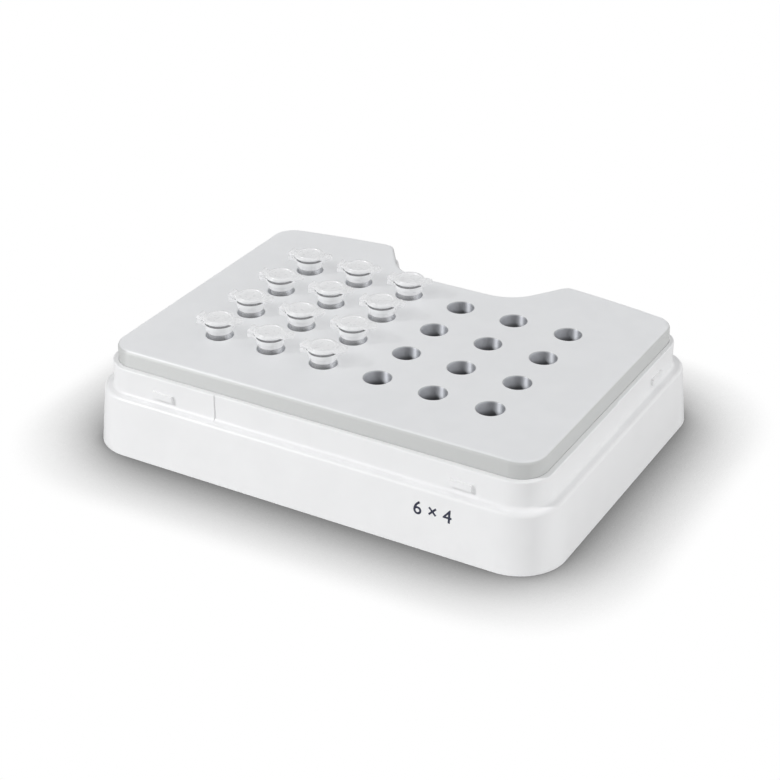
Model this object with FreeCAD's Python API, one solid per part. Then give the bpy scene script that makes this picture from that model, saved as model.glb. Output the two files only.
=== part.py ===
"""Heating block module: a block of tapered wells in a moulded frame, with capped tubes in half of the wells.

Millimetres, +Z up, +X along the long side, +Y to the back. The origin is the middle of the base.
Plan sizes are measured from the centre of the well grid, and every piece is moved to the origin at the end.
"""
import FreeCAD
import Part
import math
import os

Vector = FreeCAD.Vector
UP = Vector(0, 0, 1)

# Well grid
WELL_COLUMNS = 6
WELL_ROWS = 4
TUBE_COLUMNS = 3
PITCH_X = 18.0
PITCH_Y = 17.0
WELL_CHAMFER = 0.3
WELL_FLOOR = 1.5

# Tube, measured from the top of its rim
TUBE_DIAMETER = 7.6
TUBE_WALL = 0.75
TUBE_LENGTH = 28.8
TUBE_STRAIGHT = 13.5
TUBE_TIP_RADIUS = 1.85
TUBE_STAND = 4.0
TUBE_CLEARANCE = 0.2
TUBE_TURN = 8.0
RIM_PROUD = 0.5
RIM_HEIGHT = 1.6
RIM_SHOULDER = 0.3

# Cap of the tube and its hinge
CAP_DIAMETER = 9.5
CAP_THICKNESS = 0.7
CAP_CHAMFER = 0.2
CAP_RING_DIAMETER = 7.4
CAP_RING_WIDTH = 0.8
CAP_RING_HEIGHT = 0.2
CAP_SHOULDER_DIAMETER = 7.4
CAP_SHOULDER_HEIGHT = 0.9
CAP_CLEARANCE = 0.1
PLUG_LENGTH = 2.0
PLUG_TAPER = 0.6
PLUG_WALL = 0.6
LIP_REACH = 2.75
LIP_WIDTH = 4.4
HINGE_REACH = 1.25
HINGE_WIDTH = 3.6
HINGE_BEAD_RADIUS = 0.7
HINGE_CLEARANCE = 0.15
HINGE_TAB = 0.8

# Plan of the block
BLOCK_LENGTH = 139.4
BLOCK_FRONT = 48.1
BLOCK_BACK = 56.5
BACK_ARC_RADIUS = 332.0
FRONT_CORNER_RADIUS = 8.0
BACK_CORNER_RADIUS = 7.0
NOTCH_FLOOR = 38.4
NOTCH_FLOOR_WIDTH = 39.6
NOTCH_WALL_ANGLE = 55.4
NOTCH_INNER_RADIUS = 14.0
NOTCH_MOUTH_RADIUS = 3.5
LEAST_RADIUS = 0.5
BLOCK_EDGE_ROUND = 1.0
CORE_INSET = 7.2

# Frame: a skirt with draft, a ledge and a collar round the block
FRAME_WALL = 2.2
SKIRT_BOTTOM_OFFSET = 6.5
SKIRT_TOP_OFFSET = 4.7
LEDGE_DROP = 13.3
LEDGE_ROUND = 1.2
COLLAR_DROP = 5.1
COLLAR_WALL = 1.42
COLLAR_FILLET = 1.0
COLLAR_EDGE_ROUND = 0.4
BLOCK_CLEARANCE = 0.08
CORNER_PROUD = 0.25
CORNER_FRONT_START = 31.0
CORNER_SIDE_END = 3.0
SHELF_THICKNESS = 2.2
SHELF_CLEARANCE = 0.4
LUG_LENGTH = 6.9
LUG_HEIGHT = 2.0
LUG_DEPTH = 0.8
LUG_RISE = 1.9
LUG_FRONT_X = 48.9
LUG_SIDE_Y = 31.5

# Stack under the block
GASKET_THICKNESS = 0.8
GASKET_MARGIN = 0.4
HEATER_THICKNESS = 1.2
PAD_THICKNESS = 1.2
MAT_INSET = 1.5
COVER_THICKNESS = 2.0
COVER_RECESS = 0.8
COVER_CLEARANCE = 0.3

# Screws that hold the block to the frame
BLOCK_SCREW_RADIUS = 1.5
BLOCK_SCREW_HEAD_RADIUS = 2.8
BLOCK_SCREW_HEAD_HEIGHT = 2.0
BLOCK_SCREW_GRIP = 7.0
BLOCK_SCREW_INSET = 3.7
BLOCK_SCREW_FRONT_X = 22.0
BLOCK_SCREW_SIDE_Y = -26.0
BLOCK_SCREW_BACK_X = 56.0

# Screws that hold the cover to the frame's posts
COVER_SCREW_RADIUS = 1.4
COVER_SCREW_HEAD_RADIUS = 2.5
COVER_SCREW_HEAD_HEIGHT = 1.1
COVER_SCREW_GRIP = 8.0
POST_RADIUS = 3.2
POST_INSET = 1.7
POST_FRONT_X = 48.0
POST_SIDE_Y = 26.0
POST_BACK_X = 42.0

SCREW_CLEARANCE = 0.2
THREAD_CLEARANCE = 0.05

# Probes in the core, with their leads
PROBE_X = 18.0
PROBE_RISE = 5.5
PROBE_DEPTH = 20.0
PROBE_CLEARANCE = 0.1
PROBE_STAND = 1.3
PROBE_TAIL = 1.2
PROBE_TAIL_RADIUS = 1.0
SENSOR_RADIUS = 1.5
CUTOUT_RADIUS = 2.2
LEAD_RADIUS = 0.7
LEAD_BEND = 1.6
LEAD_SCREW_GAP = 0.4

# Contact board with its docking pins
BOARD_LENGTH = 24.0
BOARD_DEPTH = 8.0
BOARD_THICKNESS = 1.6
BOARD_STAND = 3.2
BOARD_SCREW_X = 10.4
BOARD_SCREW_RADIUS = 0.9
BOARD_SCREW_HEAD_RADIUS = 1.4
BOARD_SCREW_HEAD_HEIGHT = 1.0
BOARD_SCREW_GRIP = 2.4
BOARD_BOSS_RADIUS = 1.6
PIN_COUNT = 6
PIN_PITCH = 2.6
PIN_RADIUS = 0.8
PIN_RECESS = 0.4
PIN_WINDOW_MARGIN = 0.7
WIRE_RADIUS = 0.5
WIRE_X = 3.9
WIRE_BEND = 0.7
WIRE_BOARD_INSET = 1.3

# Locating bushes, which take the pins of the base unit
BUSH_BORE_RADIUS = 2.0
BUSH_OUTER_RADIUS = 3.0
BUSH_LENGTH = 9.0
BUSH_RECESS = 0.5
BUSH_BOSS_RADIUS = 4.2
BUSH_FIT = 0.02
BUSH_Y = 0.0

# Heights, from the base up
COVER_Z = COVER_RECESS
PAD_Z = COVER_Z + COVER_THICKNESS
HEATER_Z = PAD_Z + PAD_THICKNESS
CORE_Z = HEATER_Z + HEATER_THICKNESS
WELL_DEPTH = TUBE_LENGTH - TUBE_STAND + TUBE_CLEARANCE
BLOCK_TOP_Z = CORE_Z + WELL_FLOOR + WELL_DEPTH
LEDGE_Z = BLOCK_TOP_Z - LEDGE_DROP
COLLAR_TOP_Z = BLOCK_TOP_Z - COLLAR_DROP
SHELF_Z = LEDGE_Z - SHELF_THICKNESS
FLANGE_Z = LEDGE_Z + GASKET_THICKNESS
TUBE_RIM_Z = BLOCK_TOP_Z + TUBE_STAND
BOARD_Z = PAD_Z + BOARD_STAND
BOARD_TOP_Z = BOARD_Z + BOARD_THICKNESS
PROBE_Z = CORE_Z + PROBE_RISE

# Offsets from the block's outline that follow from the sizes above
SHELF_INSET = CORE_INSET - SHELF_CLEARANCE
COLLAR_OFFSET = BLOCK_CLEARANCE + COLLAR_WALL
CORNER_OFFSET = COLLAR_OFFSET + CORNER_PROUD
TUBE_RADIUS = TUBE_DIAMETER / 2
TUBE_BORE_RADIUS = TUBE_RADIUS - TUBE_WALL
RIM_RADIUS = TUBE_RADIUS + RIM_PROUD
CAP_RADIUS = CAP_DIAMETER / 2
HINGE_X = CAP_RADIUS + HINGE_REACH

# Length that a cutting shape runs past the face it cuts
PAST = 1.0


def skirt_offset(z):
    """Offset of the skirt's outer face from the block's outline at height z."""
    return SKIRT_BOTTOM_OFFSET + (SKIRT_TOP_OFFSET - SKIRT_BOTTOM_OFFSET) * z / LEDGE_Z


def skirt_inner_offset(z):
    """Offset of the skirt's inner face from the block's outline at height z."""
    return skirt_offset(z) - FRAME_WALL


def unit(vector):
    """The vector's direction, with length one."""
    return vector * (1 / vector.Length)


def round_edge(start, end, centre):
    """Arc of under half a circle about centre, from start to end."""
    radius = (start - centre).Length
    middle = centre + unit((start - centre) + (end - centre)) * radius
    return Part.Arc(start, middle, end).toShape()


def line_edge(start, end):
    """Straight edge from start to end."""
    return Part.LineSegment(start, end).toShape()


def back_centre():
    """Centre of the arc of the block's back edge."""
    return Vector(0, BLOCK_BACK - BACK_ARC_RADIUS, 0)


def back_edge_y(x, inset):
    """Y of a point on the back edge's arc, moved inwards by inset, at x."""
    return back_centre().y + math.sqrt((BACK_ARC_RADIUS - inset) ** 2 - x ** 2)


def notch_wall(offset):
    """Point, direction and outward normal of the notch's right wall, moved outwards by offset."""
    angle = math.radians(NOTCH_WALL_ANGLE)
    direction = Vector(math.cos(angle), math.sin(angle), 0)
    normal = Vector(-math.sin(angle), math.cos(angle), 0)
    return Vector(NOTCH_FLOOR_WIDTH / 2, NOTCH_FLOOR, 0) + normal * offset, direction, normal


def mouth_round(offset):
    """Centre and radius of the rounding between the back edge and the notch's right wall."""
    radius = max(NOTCH_MOUTH_RADIUS + offset, LEAST_RADIUS)
    base, direction, normal = notch_wall(offset)
    start = base - normal * radius - back_centre()
    reach = BACK_ARC_RADIUS + offset - radius
    along = start.dot(direction)
    travel = -along + math.sqrt(along ** 2 - start.dot(start) + reach ** 2)
    return back_centre() + start + direction * travel, radius


def plan_right_half(offset):
    """Edges of the right half of the plan, moved outwards by offset, as (start, end, centre or None)."""
    side = BLOCK_LENGTH / 2 + offset
    front = -BLOCK_FRONT - offset
    arc_radius = BACK_ARC_RADIUS + offset
    middle = back_centre()
    base, direction, normal = notch_wall(offset)

    front_radius = max(FRONT_CORNER_RADIUS + offset, LEAST_RADIUS)
    front_centre = Vector(side - front_radius, front + front_radius, 0)
    front_end = Vector(side, front_centre.y, 0)

    back_radius = max(BACK_CORNER_RADIUS + offset, LEAST_RADIUS)
    corner_x = side - back_radius
    corner_y = middle.y + math.sqrt((arc_radius - back_radius) ** 2 - corner_x ** 2)
    corner_centre = Vector(corner_x, corner_y, 0)
    corner_start = Vector(side, corner_y, 0)
    corner_end = middle + unit(corner_centre - middle) * arc_radius

    mouth_centre, mouth_radius = mouth_round(offset)
    mouth_start = middle + unit(mouth_centre - middle) * arc_radius
    mouth_end = mouth_centre + normal * mouth_radius

    inner_radius = max(NOTCH_INNER_RADIUS - offset, LEAST_RADIUS)
    floor_y = NOTCH_FLOOR + offset
    inner_base = base + normal * inner_radius
    travel = (floor_y + inner_radius - inner_base.y) / direction.y
    inner_centre = inner_base + direction * travel
    inner_start = inner_centre - normal * inner_radius
    inner_end = Vector(inner_centre.x, floor_y, 0)

    return [
        (Vector(front_centre.x, front, 0), front_end, front_centre),
        (front_end, corner_start, None),
        (corner_start, corner_end, corner_centre),
        (corner_end, mouth_start, middle),
        (mouth_start, mouth_end, mouth_centre),
        (mouth_end, inner_start, None),
        (inner_start, inner_end, inner_centre),
    ]


def mirrored(point):
    """The point on the other side of the middle plane."""
    return None if point is None else Vector(-point.x, point.y, point.z)


def plan_outline(offset, z):
    """Closed wire of the block's plan, moved outwards by offset, at height z."""
    right = plan_right_half(offset)
    left = [(mirrored(end), mirrored(start), mirrored(centre)) for start, end, centre in reversed(right)]
    floor = (right[-1][1], left[0][0], None)
    front = (left[-1][1], right[0][0], None)
    edges = []
    for start, end, centre in right + [floor] + left + [front]:
        edges.append(line_edge(start, end) if centre is None else round_edge(start, end, centre))
    wire = Part.Wire(edges)
    wire.translate(UP * z)
    return wire


def plate(offset, low, high):
    """Upright solid of the plan, moved outwards by offset, between two heights."""
    return Part.Face(plan_outline(offset, low)).extrude(UP * (high - low))


def draft_plate(low_offset, low, high_offset, high):
    """Solid of the plan whose offset changes evenly between two heights."""
    return Part.makeLoft([plan_outline(low_offset, low), plan_outline(high_offset, high)], True, True)


def cylinder(radius, x, y, low, high):
    """Upright cylinder."""
    return Part.makeCylinder(radius, high - low, Vector(x, y, low))


def box(x_range, y_range, z_range):
    """Box between three pairs of limits."""
    size = [limits[1] - limits[0] for limits in (x_range, y_range, z_range)]
    return Part.makeBox(*size, Vector(x_range[0], y_range[0], z_range[0]))


def turned(profile, x, y):
    """Solid of revolution about the upright axis at x, y. The profile lists edges in the XZ plane."""
    solid = Part.Face(Part.Wire(profile)).revolve(Vector(0, 0, 0), UP, 360)
    solid.translate(Vector(x, y, 0))
    return solid


def profile_lines(points):
    """Straight edges in the XZ plane through (radius, height) points."""
    corners = [Vector(radius, 0, height) for radius, height in points]
    return [line_edge(start, end) for start, end in zip(corners, corners[1:])]


def tip_arc(radius, height):
    """Quarter circle of a round tip, from its full radius at the given height down to the axis."""
    slant = radius * math.sqrt(0.5)
    start = Vector(radius, 0, height)
    middle = Vector(slant, 0, height - slant)
    return Part.Arc(start, middle, Vector(0, 0, height - radius)).toShape()


def bent_tube(points, radius, bend):
    """Round tube through points, with the same bend at each corner."""
    edges = []
    start = points[0]
    for before, corner, after in zip(points, points[1:], points[2:]):
        towards = unit(corner - before)
        away = unit(after - corner)
        turn = towards.getAngle(away)
        cut = bend * math.tan(turn / 2)
        arc_start = corner - towards * cut
        arc_end = corner + away * cut
        inward = unit(away - towards)
        centre = corner + inward * (bend / math.cos(turn / 2))
        edges.append(line_edge(start, arc_start))
        edges.append(round_edge(arc_start, arc_end, centre))
        start = arc_end
    edges.append(line_edge(start, points[-1]))
    section = Part.Wire(Part.makeCircle(radius, points[0], points[1] - points[0]))
    return Part.Wire(edges).makePipeShell([section], True, False)


def edges_at(solid, height, outer=None):
    """Edges of a solid that lie flat at a height, or those of one wire's outline among them."""
    found = []
    for edge in solid.Edges:
        bounds = edge.BoundBox
        if abs(bounds.ZMin - height) > 0.01 or abs(bounds.ZMax - height) > 0.01:
            continue
        if outer is None or outer.distToShape(Part.Vertex(edge.valueAt(edge.FirstParameter)))[0] < 0.01:
            found.append(edge)
    return found


def well_places():
    """Name, x and y of every well, lettered from the back row and numbered from the left column."""
    places = []
    for row in range(WELL_ROWS):
        for column in range(WELL_COLUMNS):
            name = "abcdefgh"[row] + str(column + 1)
            x = (column - (WELL_COLUMNS - 1) / 2) * PITCH_X
            y = ((WELL_ROWS - 1) / 2 - row) * PITCH_Y
            places.append((name, column, x, y))
    return places


def both_sides(x, y):
    """A place and its mirror image."""
    return [(-x, y), (x, y)]


def block_screw_places():
    """Places of the screws that hold the block."""
    front = both_sides(BLOCK_SCREW_FRONT_X, BLOCK_SCREW_INSET - BLOCK_FRONT)
    sides = both_sides(BLOCK_LENGTH / 2 - BLOCK_SCREW_INSET, BLOCK_SCREW_SIDE_Y)
    back = both_sides(BLOCK_SCREW_BACK_X, back_edge_y(BLOCK_SCREW_BACK_X, BLOCK_SCREW_INSET))
    return front + sides + back


def post_places():
    """Places of the posts that carry the cover."""
    front = both_sides(POST_FRONT_X, POST_INSET - BLOCK_FRONT)
    sides = both_sides(BLOCK_LENGTH / 2 - POST_INSET, POST_SIDE_Y)
    back = both_sides(POST_BACK_X, back_edge_y(POST_BACK_X, POST_INSET))
    return front + sides + back


def bush_places():
    """Places of the locating bushes, midway between the core and the skirt's inner face."""
    middle = (skirt_inner_offset(SHELF_Z) - CORE_INSET) / 2
    return both_sides(BLOCK_LENGTH / 2 + middle, BUSH_Y)


def board_y():
    """Middle of the contact board, midway between the core and the skirt beside the notch."""
    return NOTCH_FLOOR + (skirt_inner_offset(BOARD_Z) - CORE_INSET) / 2


def core_wall_y(x):
    """Y of the core's back wall beside the notch at x, on the flat or on the round next to it."""
    radius = max(NOTCH_INNER_RADIUS + CORE_INSET, LEAST_RADIUS)
    centre = plan_right_half(-CORE_INSET)[-1][2]
    past = max(abs(x) - centre.x, 0)
    return centre.y - math.sqrt(radius ** 2 - past ** 2)


def well_cut(x, y):
    """Space of one well: chamfered mouth, straight bore, cone and round tip."""
    radius = TUBE_RADIUS + TUBE_CLEARANCE
    tip = TUBE_TIP_RADIUS + TUBE_CLEARANCE
    top = BLOCK_TOP_Z + PAST
    tip_z = TUBE_RIM_Z - TUBE_LENGTH + TUBE_TIP_RADIUS
    points = [
        (0, top),
        (radius + WELL_CHAMFER, top),
        (radius + WELL_CHAMFER, BLOCK_TOP_Z),
        (radius, BLOCK_TOP_Z - WELL_CHAMFER),
        (radius, TUBE_RIM_Z - TUBE_STRAIGHT),
        (tip, tip_z),
    ]
    axis = line_edge(Vector(0, 0, tip_z - tip), Vector(0, 0, top))
    return turned(profile_lines(points) + [tip_arc(tip, tip_z), axis], x, y)


def probe_bore(x, radius):
    """Space of a probe's bore in the core, from its back wall forwards."""
    wall = core_wall_y(x)
    return Part.makeCylinder(radius, PROBE_DEPTH + PAST, Vector(x, wall + PAST, PROBE_Z), Vector(0, -1, 0))


def make_sample_block():
    """Block: a flange that fills the collar, and a core that reaches down to the heater."""
    flange = plate(0, FLANGE_Z, BLOCK_TOP_Z)
    flange = flange.makeFillet(BLOCK_EDGE_ROUND, edges_at(flange, BLOCK_TOP_Z))
    block = flange.fuse(plate(-CORE_INSET, CORE_Z, FLANGE_Z)).removeSplitter()
    cuts = [well_cut(x, y) for name, column, x, y in well_places()]
    thread = BLOCK_SCREW_RADIUS + THREAD_CLEARANCE
    for x, y in block_screw_places():
        cuts.append(cylinder(thread, x, y, FLANGE_Z - PAST, FLANGE_Z + BLOCK_SCREW_GRIP + SCREW_CLEARANCE))
    cuts.append(probe_bore(-PROBE_X, SENSOR_RADIUS + PROBE_CLEARANCE))
    cuts.append(probe_bore(PROBE_X, CUTOUT_RADIUS + PROBE_CLEARANCE))
    return block.cut(cuts)


def collar_on_ledge(offset, ledge_offset):
    """Collar of the given outer offset on a plate of the ledge, with a fillet at its foot and a soft rim."""
    foot = plate(ledge_offset, SHELF_Z, LEDGE_Z)
    collar = foot.fuse(plate(offset, SHELF_Z, COLLAR_TOP_Z)).removeSplitter()
    collar = collar.makeFillet(COLLAR_FILLET, edges_at(collar, LEDGE_Z, plan_outline(offset, LEDGE_Z)))
    return collar.makeFillet(COLLAR_EDGE_ROUND, edges_at(collar, COLLAR_TOP_Z))


def frame_corner(sign):
    """Box over one front corner of the frame, where the collar stands proud."""
    reach = BLOCK_LENGTH / 2 + SKIRT_BOTTOM_OFFSET
    x_range = sorted((sign * CORNER_FRONT_START, sign * reach))
    y_range = (-BLOCK_FRONT - SKIRT_BOTTOM_OFFSET, CORNER_SIDE_END)
    return box(x_range, y_range, (SHELF_Z, COLLAR_TOP_Z))


def frame_lugs():
    """Small lugs on the collar that a lid clips over."""
    low = LEDGE_Z + LUG_RISE
    z_range = (low, low + LUG_HEIGHT)
    half = LUG_LENGTH / 2
    front = -BLOCK_FRONT - CORNER_OFFSET
    side = BLOCK_LENGTH / 2 + COLLAR_OFFSET
    lugs = []
    for sign in (-1, 1):
        middle = sign * LUG_FRONT_X
        lugs.append(box((middle - half, middle + half), (front - LUG_DEPTH, front + COLLAR_WALL), z_range))
        x_range = sorted((sign * (side - COLLAR_WALL), sign * (side + LUG_DEPTH)))
        lugs.append(box(x_range, (LUG_SIDE_Y - half, LUG_SIDE_Y + half), z_range))
    return lugs


def make_housing_frame():
    """Frame: skirt, ledge, collar with proud front corners and lugs, shelf, cover posts and bush bosses."""
    skirt = draft_plate(SKIRT_BOTTOM_OFFSET, 0, SKIRT_TOP_OFFSET, LEDGE_Z)
    skirt = skirt.makeFillet(LEDGE_ROUND, edges_at(skirt, LEDGE_Z))
    ledge_offset = SKIRT_TOP_OFFSET - LEDGE_ROUND
    corners = collar_on_ledge(CORNER_OFFSET, ledge_offset)
    proud = [corners.common(frame_corner(sign)) for sign in (-1, 1)]
    frame = skirt.fuse([collar_on_ledge(COLLAR_OFFSET, ledge_offset)] + proud + frame_lugs())
    pocket = plate(BLOCK_CLEARANCE, LEDGE_Z, COLLAR_TOP_Z + PAST)
    opening = plate(-SHELF_INSET, SHELF_Z - PAST, LEDGE_Z + PAST)
    cavity = draft_plate(skirt_inner_offset(-PAST), -PAST, skirt_inner_offset(SHELF_Z), SHELF_Z)
    frame = frame.cut([pocket, opening, cavity]).removeSplitter()

    posts = [cylinder(POST_RADIUS, x, y, PAD_Z, SHELF_Z) for x, y in post_places()]
    bosses = [cylinder(BUSH_BOSS_RADIUS, x, y, BUSH_RECESS, SHELF_Z) for x, y in bush_places()]
    frame = frame.fuse(posts + bosses)
    cuts = []
    thread = COVER_SCREW_RADIUS + THREAD_CLEARANCE
    for x, y in post_places():
        cuts.append(cylinder(thread, x, y, PAD_Z - PAST, PAD_Z + COVER_SCREW_GRIP + SCREW_CLEARANCE))
    for x, y in block_screw_places():
        cuts.append(cylinder(BLOCK_SCREW_RADIUS + SCREW_CLEARANCE, x, y, SHELF_Z - PAST, LEDGE_Z + PAST))
    for x, y in bush_places():
        cuts.append(cylinder(BUSH_OUTER_RADIUS, x, y, BUSH_RECESS - PAST, BUSH_RECESS + BUSH_LENGTH))
    return frame.cut(cuts).removeSplitter()


def make_block_gasket():
    """Flat ring between the shelf and the flange, with holes for the block's screws."""
    ring = plate(-GASKET_MARGIN, LEDGE_Z, FLANGE_Z)
    cuts = [plate(-SHELF_INSET, LEDGE_Z - PAST, FLANGE_Z + PAST)]
    for x, y in block_screw_places():
        cuts.append(cylinder(BLOCK_SCREW_RADIUS + SCREW_CLEARANCE, x, y, LEDGE_Z - PAST, FLANGE_Z + PAST))
    return ring.cut(cuts)


def make_block_screws():
    """Pan head screws from under the shelf up into the flange."""
    screws = []
    for x, y in block_screw_places():
        head = cylinder(BLOCK_SCREW_HEAD_RADIUS, x, y, SHELF_Z - BLOCK_SCREW_HEAD_HEIGHT, SHELF_Z)
        screws.append(head.fuse(cylinder(BLOCK_SCREW_RADIUS, x, y, SHELF_Z, FLANGE_Z + BLOCK_SCREW_GRIP)))
    return Part.makeCompound(screws)


def make_heater_mat():
    """Heater sheet bonded to the underside of the core."""
    return plate(-CORE_INSET - MAT_INSET, HEATER_Z, CORE_Z)


def make_insulation_pad():
    """Foam sheet between the heater and the cover."""
    return plate(-CORE_INSET - MAT_INSET, PAD_Z, HEATER_Z)


def pin_places():
    """X of each docking pin."""
    return [(index - (PIN_COUNT - 1) / 2) * PIN_PITCH for index in range(PIN_COUNT)]


def make_bottom_cover():
    """Cover plate with recessed screw holes, boss holes, a window for the pins and two board bosses."""
    cover = plate(skirt_inner_offset(PAD_Z) - COVER_CLEARANCE, COVER_Z, PAD_Z)
    y = board_y()
    bosses = [cylinder(BOARD_BOSS_RADIUS, x, y, PAD_Z, BOARD_Z) for x in (-BOARD_SCREW_X, BOARD_SCREW_X)]
    cover = cover.fuse(bosses)
    cuts = []
    for x, post_y in post_places():
        cuts.append(cylinder(COVER_SCREW_RADIUS + SCREW_CLEARANCE, x, post_y, COVER_Z - PAST, PAD_Z + PAST))
        recess = COVER_Z + COVER_SCREW_HEAD_HEIGHT
        cuts.append(cylinder(COVER_SCREW_HEAD_RADIUS + SCREW_CLEARANCE, x, post_y, COVER_Z - PAST, recess))
    for x, bush_y in bush_places():
        cuts.append(cylinder(BUSH_BOSS_RADIUS + COVER_CLEARANCE, x, bush_y, COVER_Z - PAST, PAD_Z + PAST))
    for x in (-BOARD_SCREW_X, BOARD_SCREW_X):
        low = BOARD_Z - BOARD_SCREW_GRIP - SCREW_CLEARANCE
        cuts.append(cylinder(BOARD_SCREW_RADIUS + THREAD_CLEARANCE, x, y, low, BOARD_Z + PAST))
    reach = pin_places()[-1] + PIN_RADIUS + PIN_WINDOW_MARGIN
    half = PIN_RADIUS + PIN_WINDOW_MARGIN
    cuts.append(box((-reach, reach), (y - half, y + half), (COVER_Z - PAST, PAD_Z + PAST)))
    return cover.cut(cuts).removeSplitter()


def make_cover_screws():
    """Flat head screws through the cover into the posts."""
    screws = []
    for x, y in post_places():
        head_top = COVER_Z + COVER_SCREW_HEAD_HEIGHT
        head = cylinder(COVER_SCREW_HEAD_RADIUS, x, y, COVER_Z, head_top)
        screws.append(head.fuse(cylinder(COVER_SCREW_RADIUS, x, y, head_top, PAD_Z + COVER_SCREW_GRIP)))
    return Part.makeCompound(screws)


def probe_end_y(x):
    """Y of the back end of a probe's tail."""
    return core_wall_y(x) + PROBE_STAND + PROBE_TAIL


def make_probe(x, radius):
    """Probe in its bore, with a thinner tail that the lead comes out of."""
    length = PROBE_DEPTH - PROBE_CLEARANCE + PROBE_STAND
    back = core_wall_y(x) + PROBE_STAND
    body = Part.makeCylinder(radius, length, Vector(x, back, PROBE_Z), Vector(0, -1, 0))
    return body.fuse(Part.makeCylinder(PROBE_TAIL_RADIUS, PROBE_TAIL, Vector(x, back, PROBE_Z), Vector(0, 1, 0)))


def make_probe_lead(x):
    """Lead from a probe's tail along the skirt and down onto the contact board."""
    reach = BOARD_SCREW_X - BOARD_SCREW_HEAD_RADIUS - LEAD_SCREW_GAP - LEAD_RADIUS
    board_x = math.copysign(reach, x)
    y = probe_end_y(x) + 2 * LEAD_BEND
    points = [
        Vector(x, probe_end_y(x), PROBE_Z),
        Vector(x, y, PROBE_Z),
        Vector(board_x, y, PROBE_Z),
        Vector(board_x, y, BOARD_TOP_Z),
    ]
    return bent_tube(points, LEAD_RADIUS, LEAD_BEND)


def make_heater_leads():
    """Two wires from the heater's edge up to the underside of the contact board."""
    start_y = NOTCH_FLOOR - CORE_INSET - MAT_INSET
    end_y = board_y() - BOARD_DEPTH / 2 + WIRE_BOARD_INSET
    z = HEATER_Z + HEATER_THICKNESS / 2
    wires = []
    for x in (-WIRE_X, WIRE_X):
        points = [Vector(x, start_y, z), Vector(x, end_y, z), Vector(x, end_y, BOARD_Z)]
        wires.append(bent_tube(points, WIRE_RADIUS, WIRE_BEND))
    return Part.makeCompound(wires)


def make_contact_board():
    """Circuit board on the cover's two bosses."""
    y = board_y()
    half = BOARD_LENGTH / 2
    board = box((-half, half), (y - BOARD_DEPTH / 2, y + BOARD_DEPTH / 2), (BOARD_Z, BOARD_TOP_Z))
    hole = BOARD_SCREW_RADIUS + SCREW_CLEARANCE
    cuts = [cylinder(hole, x, y, BOARD_Z - PAST, BOARD_TOP_Z + PAST) for x in (-BOARD_SCREW_X, BOARD_SCREW_X)]
    return board.cut(cuts)


def make_contact_pins():
    """Docking pins under the board, ending just above the base."""
    return Part.makeCompound([cylinder(PIN_RADIUS, x, board_y(), PIN_RECESS, BOARD_Z) for x in pin_places()])


def make_board_screws():
    """Screws through the board into the cover's bosses."""
    screws = []
    for x in (-BOARD_SCREW_X, BOARD_SCREW_X):
        top = BOARD_TOP_Z + BOARD_SCREW_HEAD_HEIGHT
        head = cylinder(BOARD_SCREW_HEAD_RADIUS, x, board_y(), BOARD_TOP_Z, top)
        shank = cylinder(BOARD_SCREW_RADIUS, x, board_y(), BOARD_Z - BOARD_SCREW_GRIP, BOARD_TOP_Z)
        screws.append(head.fuse(shank))
    return Part.makeCompound(screws)


def make_locating_bushes():
    """Bushes pressed into the frame's bosses."""
    bushes = []
    for x, y in bush_places():
        outer = cylinder(BUSH_OUTER_RADIUS - BUSH_FIT, x, y, BUSH_RECESS, BUSH_RECESS + BUSH_LENGTH)
        bore = cylinder(BUSH_BORE_RADIUS, x, y, BUSH_RECESS - PAST, BUSH_RECESS + BUSH_LENGTH + PAST)
        bushes.append(outer.cut(bore))
    return Part.makeCompound(bushes)


def hinge_z():
    """Height of the cap's hinge axis, in the middle of its disc."""
    return TUBE_RIM_Z + CAP_CLEARANCE + CAP_SHOULDER_HEIGHT + CAP_THICKNESS / 2


def make_tube(x, y):
    """Tube with a raised rim, a tapered body and a tab that carries the hinge."""
    rim = TUBE_RIM_Z
    straight_z = rim - TUBE_STRAIGHT
    tip_z = rim - TUBE_LENGTH + TUBE_TIP_RADIUS
    bore_tip = TUBE_TIP_RADIUS - TUBE_WALL
    outer_points = [
        (0, rim),
        (RIM_RADIUS, rim),
        (RIM_RADIUS, rim - RIM_HEIGHT + RIM_SHOULDER),
        (TUBE_RADIUS, rim - RIM_HEIGHT),
        (TUBE_RADIUS, straight_z),
        (TUBE_TIP_RADIUS, tip_z),
    ]
    outer_axis = line_edge(Vector(0, 0, tip_z - TUBE_TIP_RADIUS), Vector(0, 0, rim))
    outer = turned(profile_lines(outer_points) + [tip_arc(TUBE_TIP_RADIUS, tip_z), outer_axis], 0, 0)
    bore_points = [
        (0, rim + PAST),
        (TUBE_BORE_RADIUS, rim + PAST),
        (TUBE_BORE_RADIUS, straight_z),
        (bore_tip, tip_z),
    ]
    bore_axis = line_edge(Vector(0, 0, tip_z - bore_tip), Vector(0, 0, rim + PAST))
    bore = turned(profile_lines(bore_points) + [tip_arc(bore_tip, tip_z), bore_axis], 0, 0)
    half = HINGE_WIDTH / 2
    outer_end = -HINGE_X - HINGE_BEAD_RADIUS
    tab = box((outer_end, -TUBE_RADIUS), (-half, half), (rim - HINGE_TAB, rim))
    seat_z = hinge_z() - HINGE_BEAD_RADIUS - HINGE_CLEARANCE
    seat = box((outer_end, HINGE_BEAD_RADIUS - HINGE_X), (-half, half), (rim - HINGE_TAB, seat_z))
    tube = outer.fuse([tab, seat]).cut(bore).removeSplitter()
    return placed_tube(tube, x, y)


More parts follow.
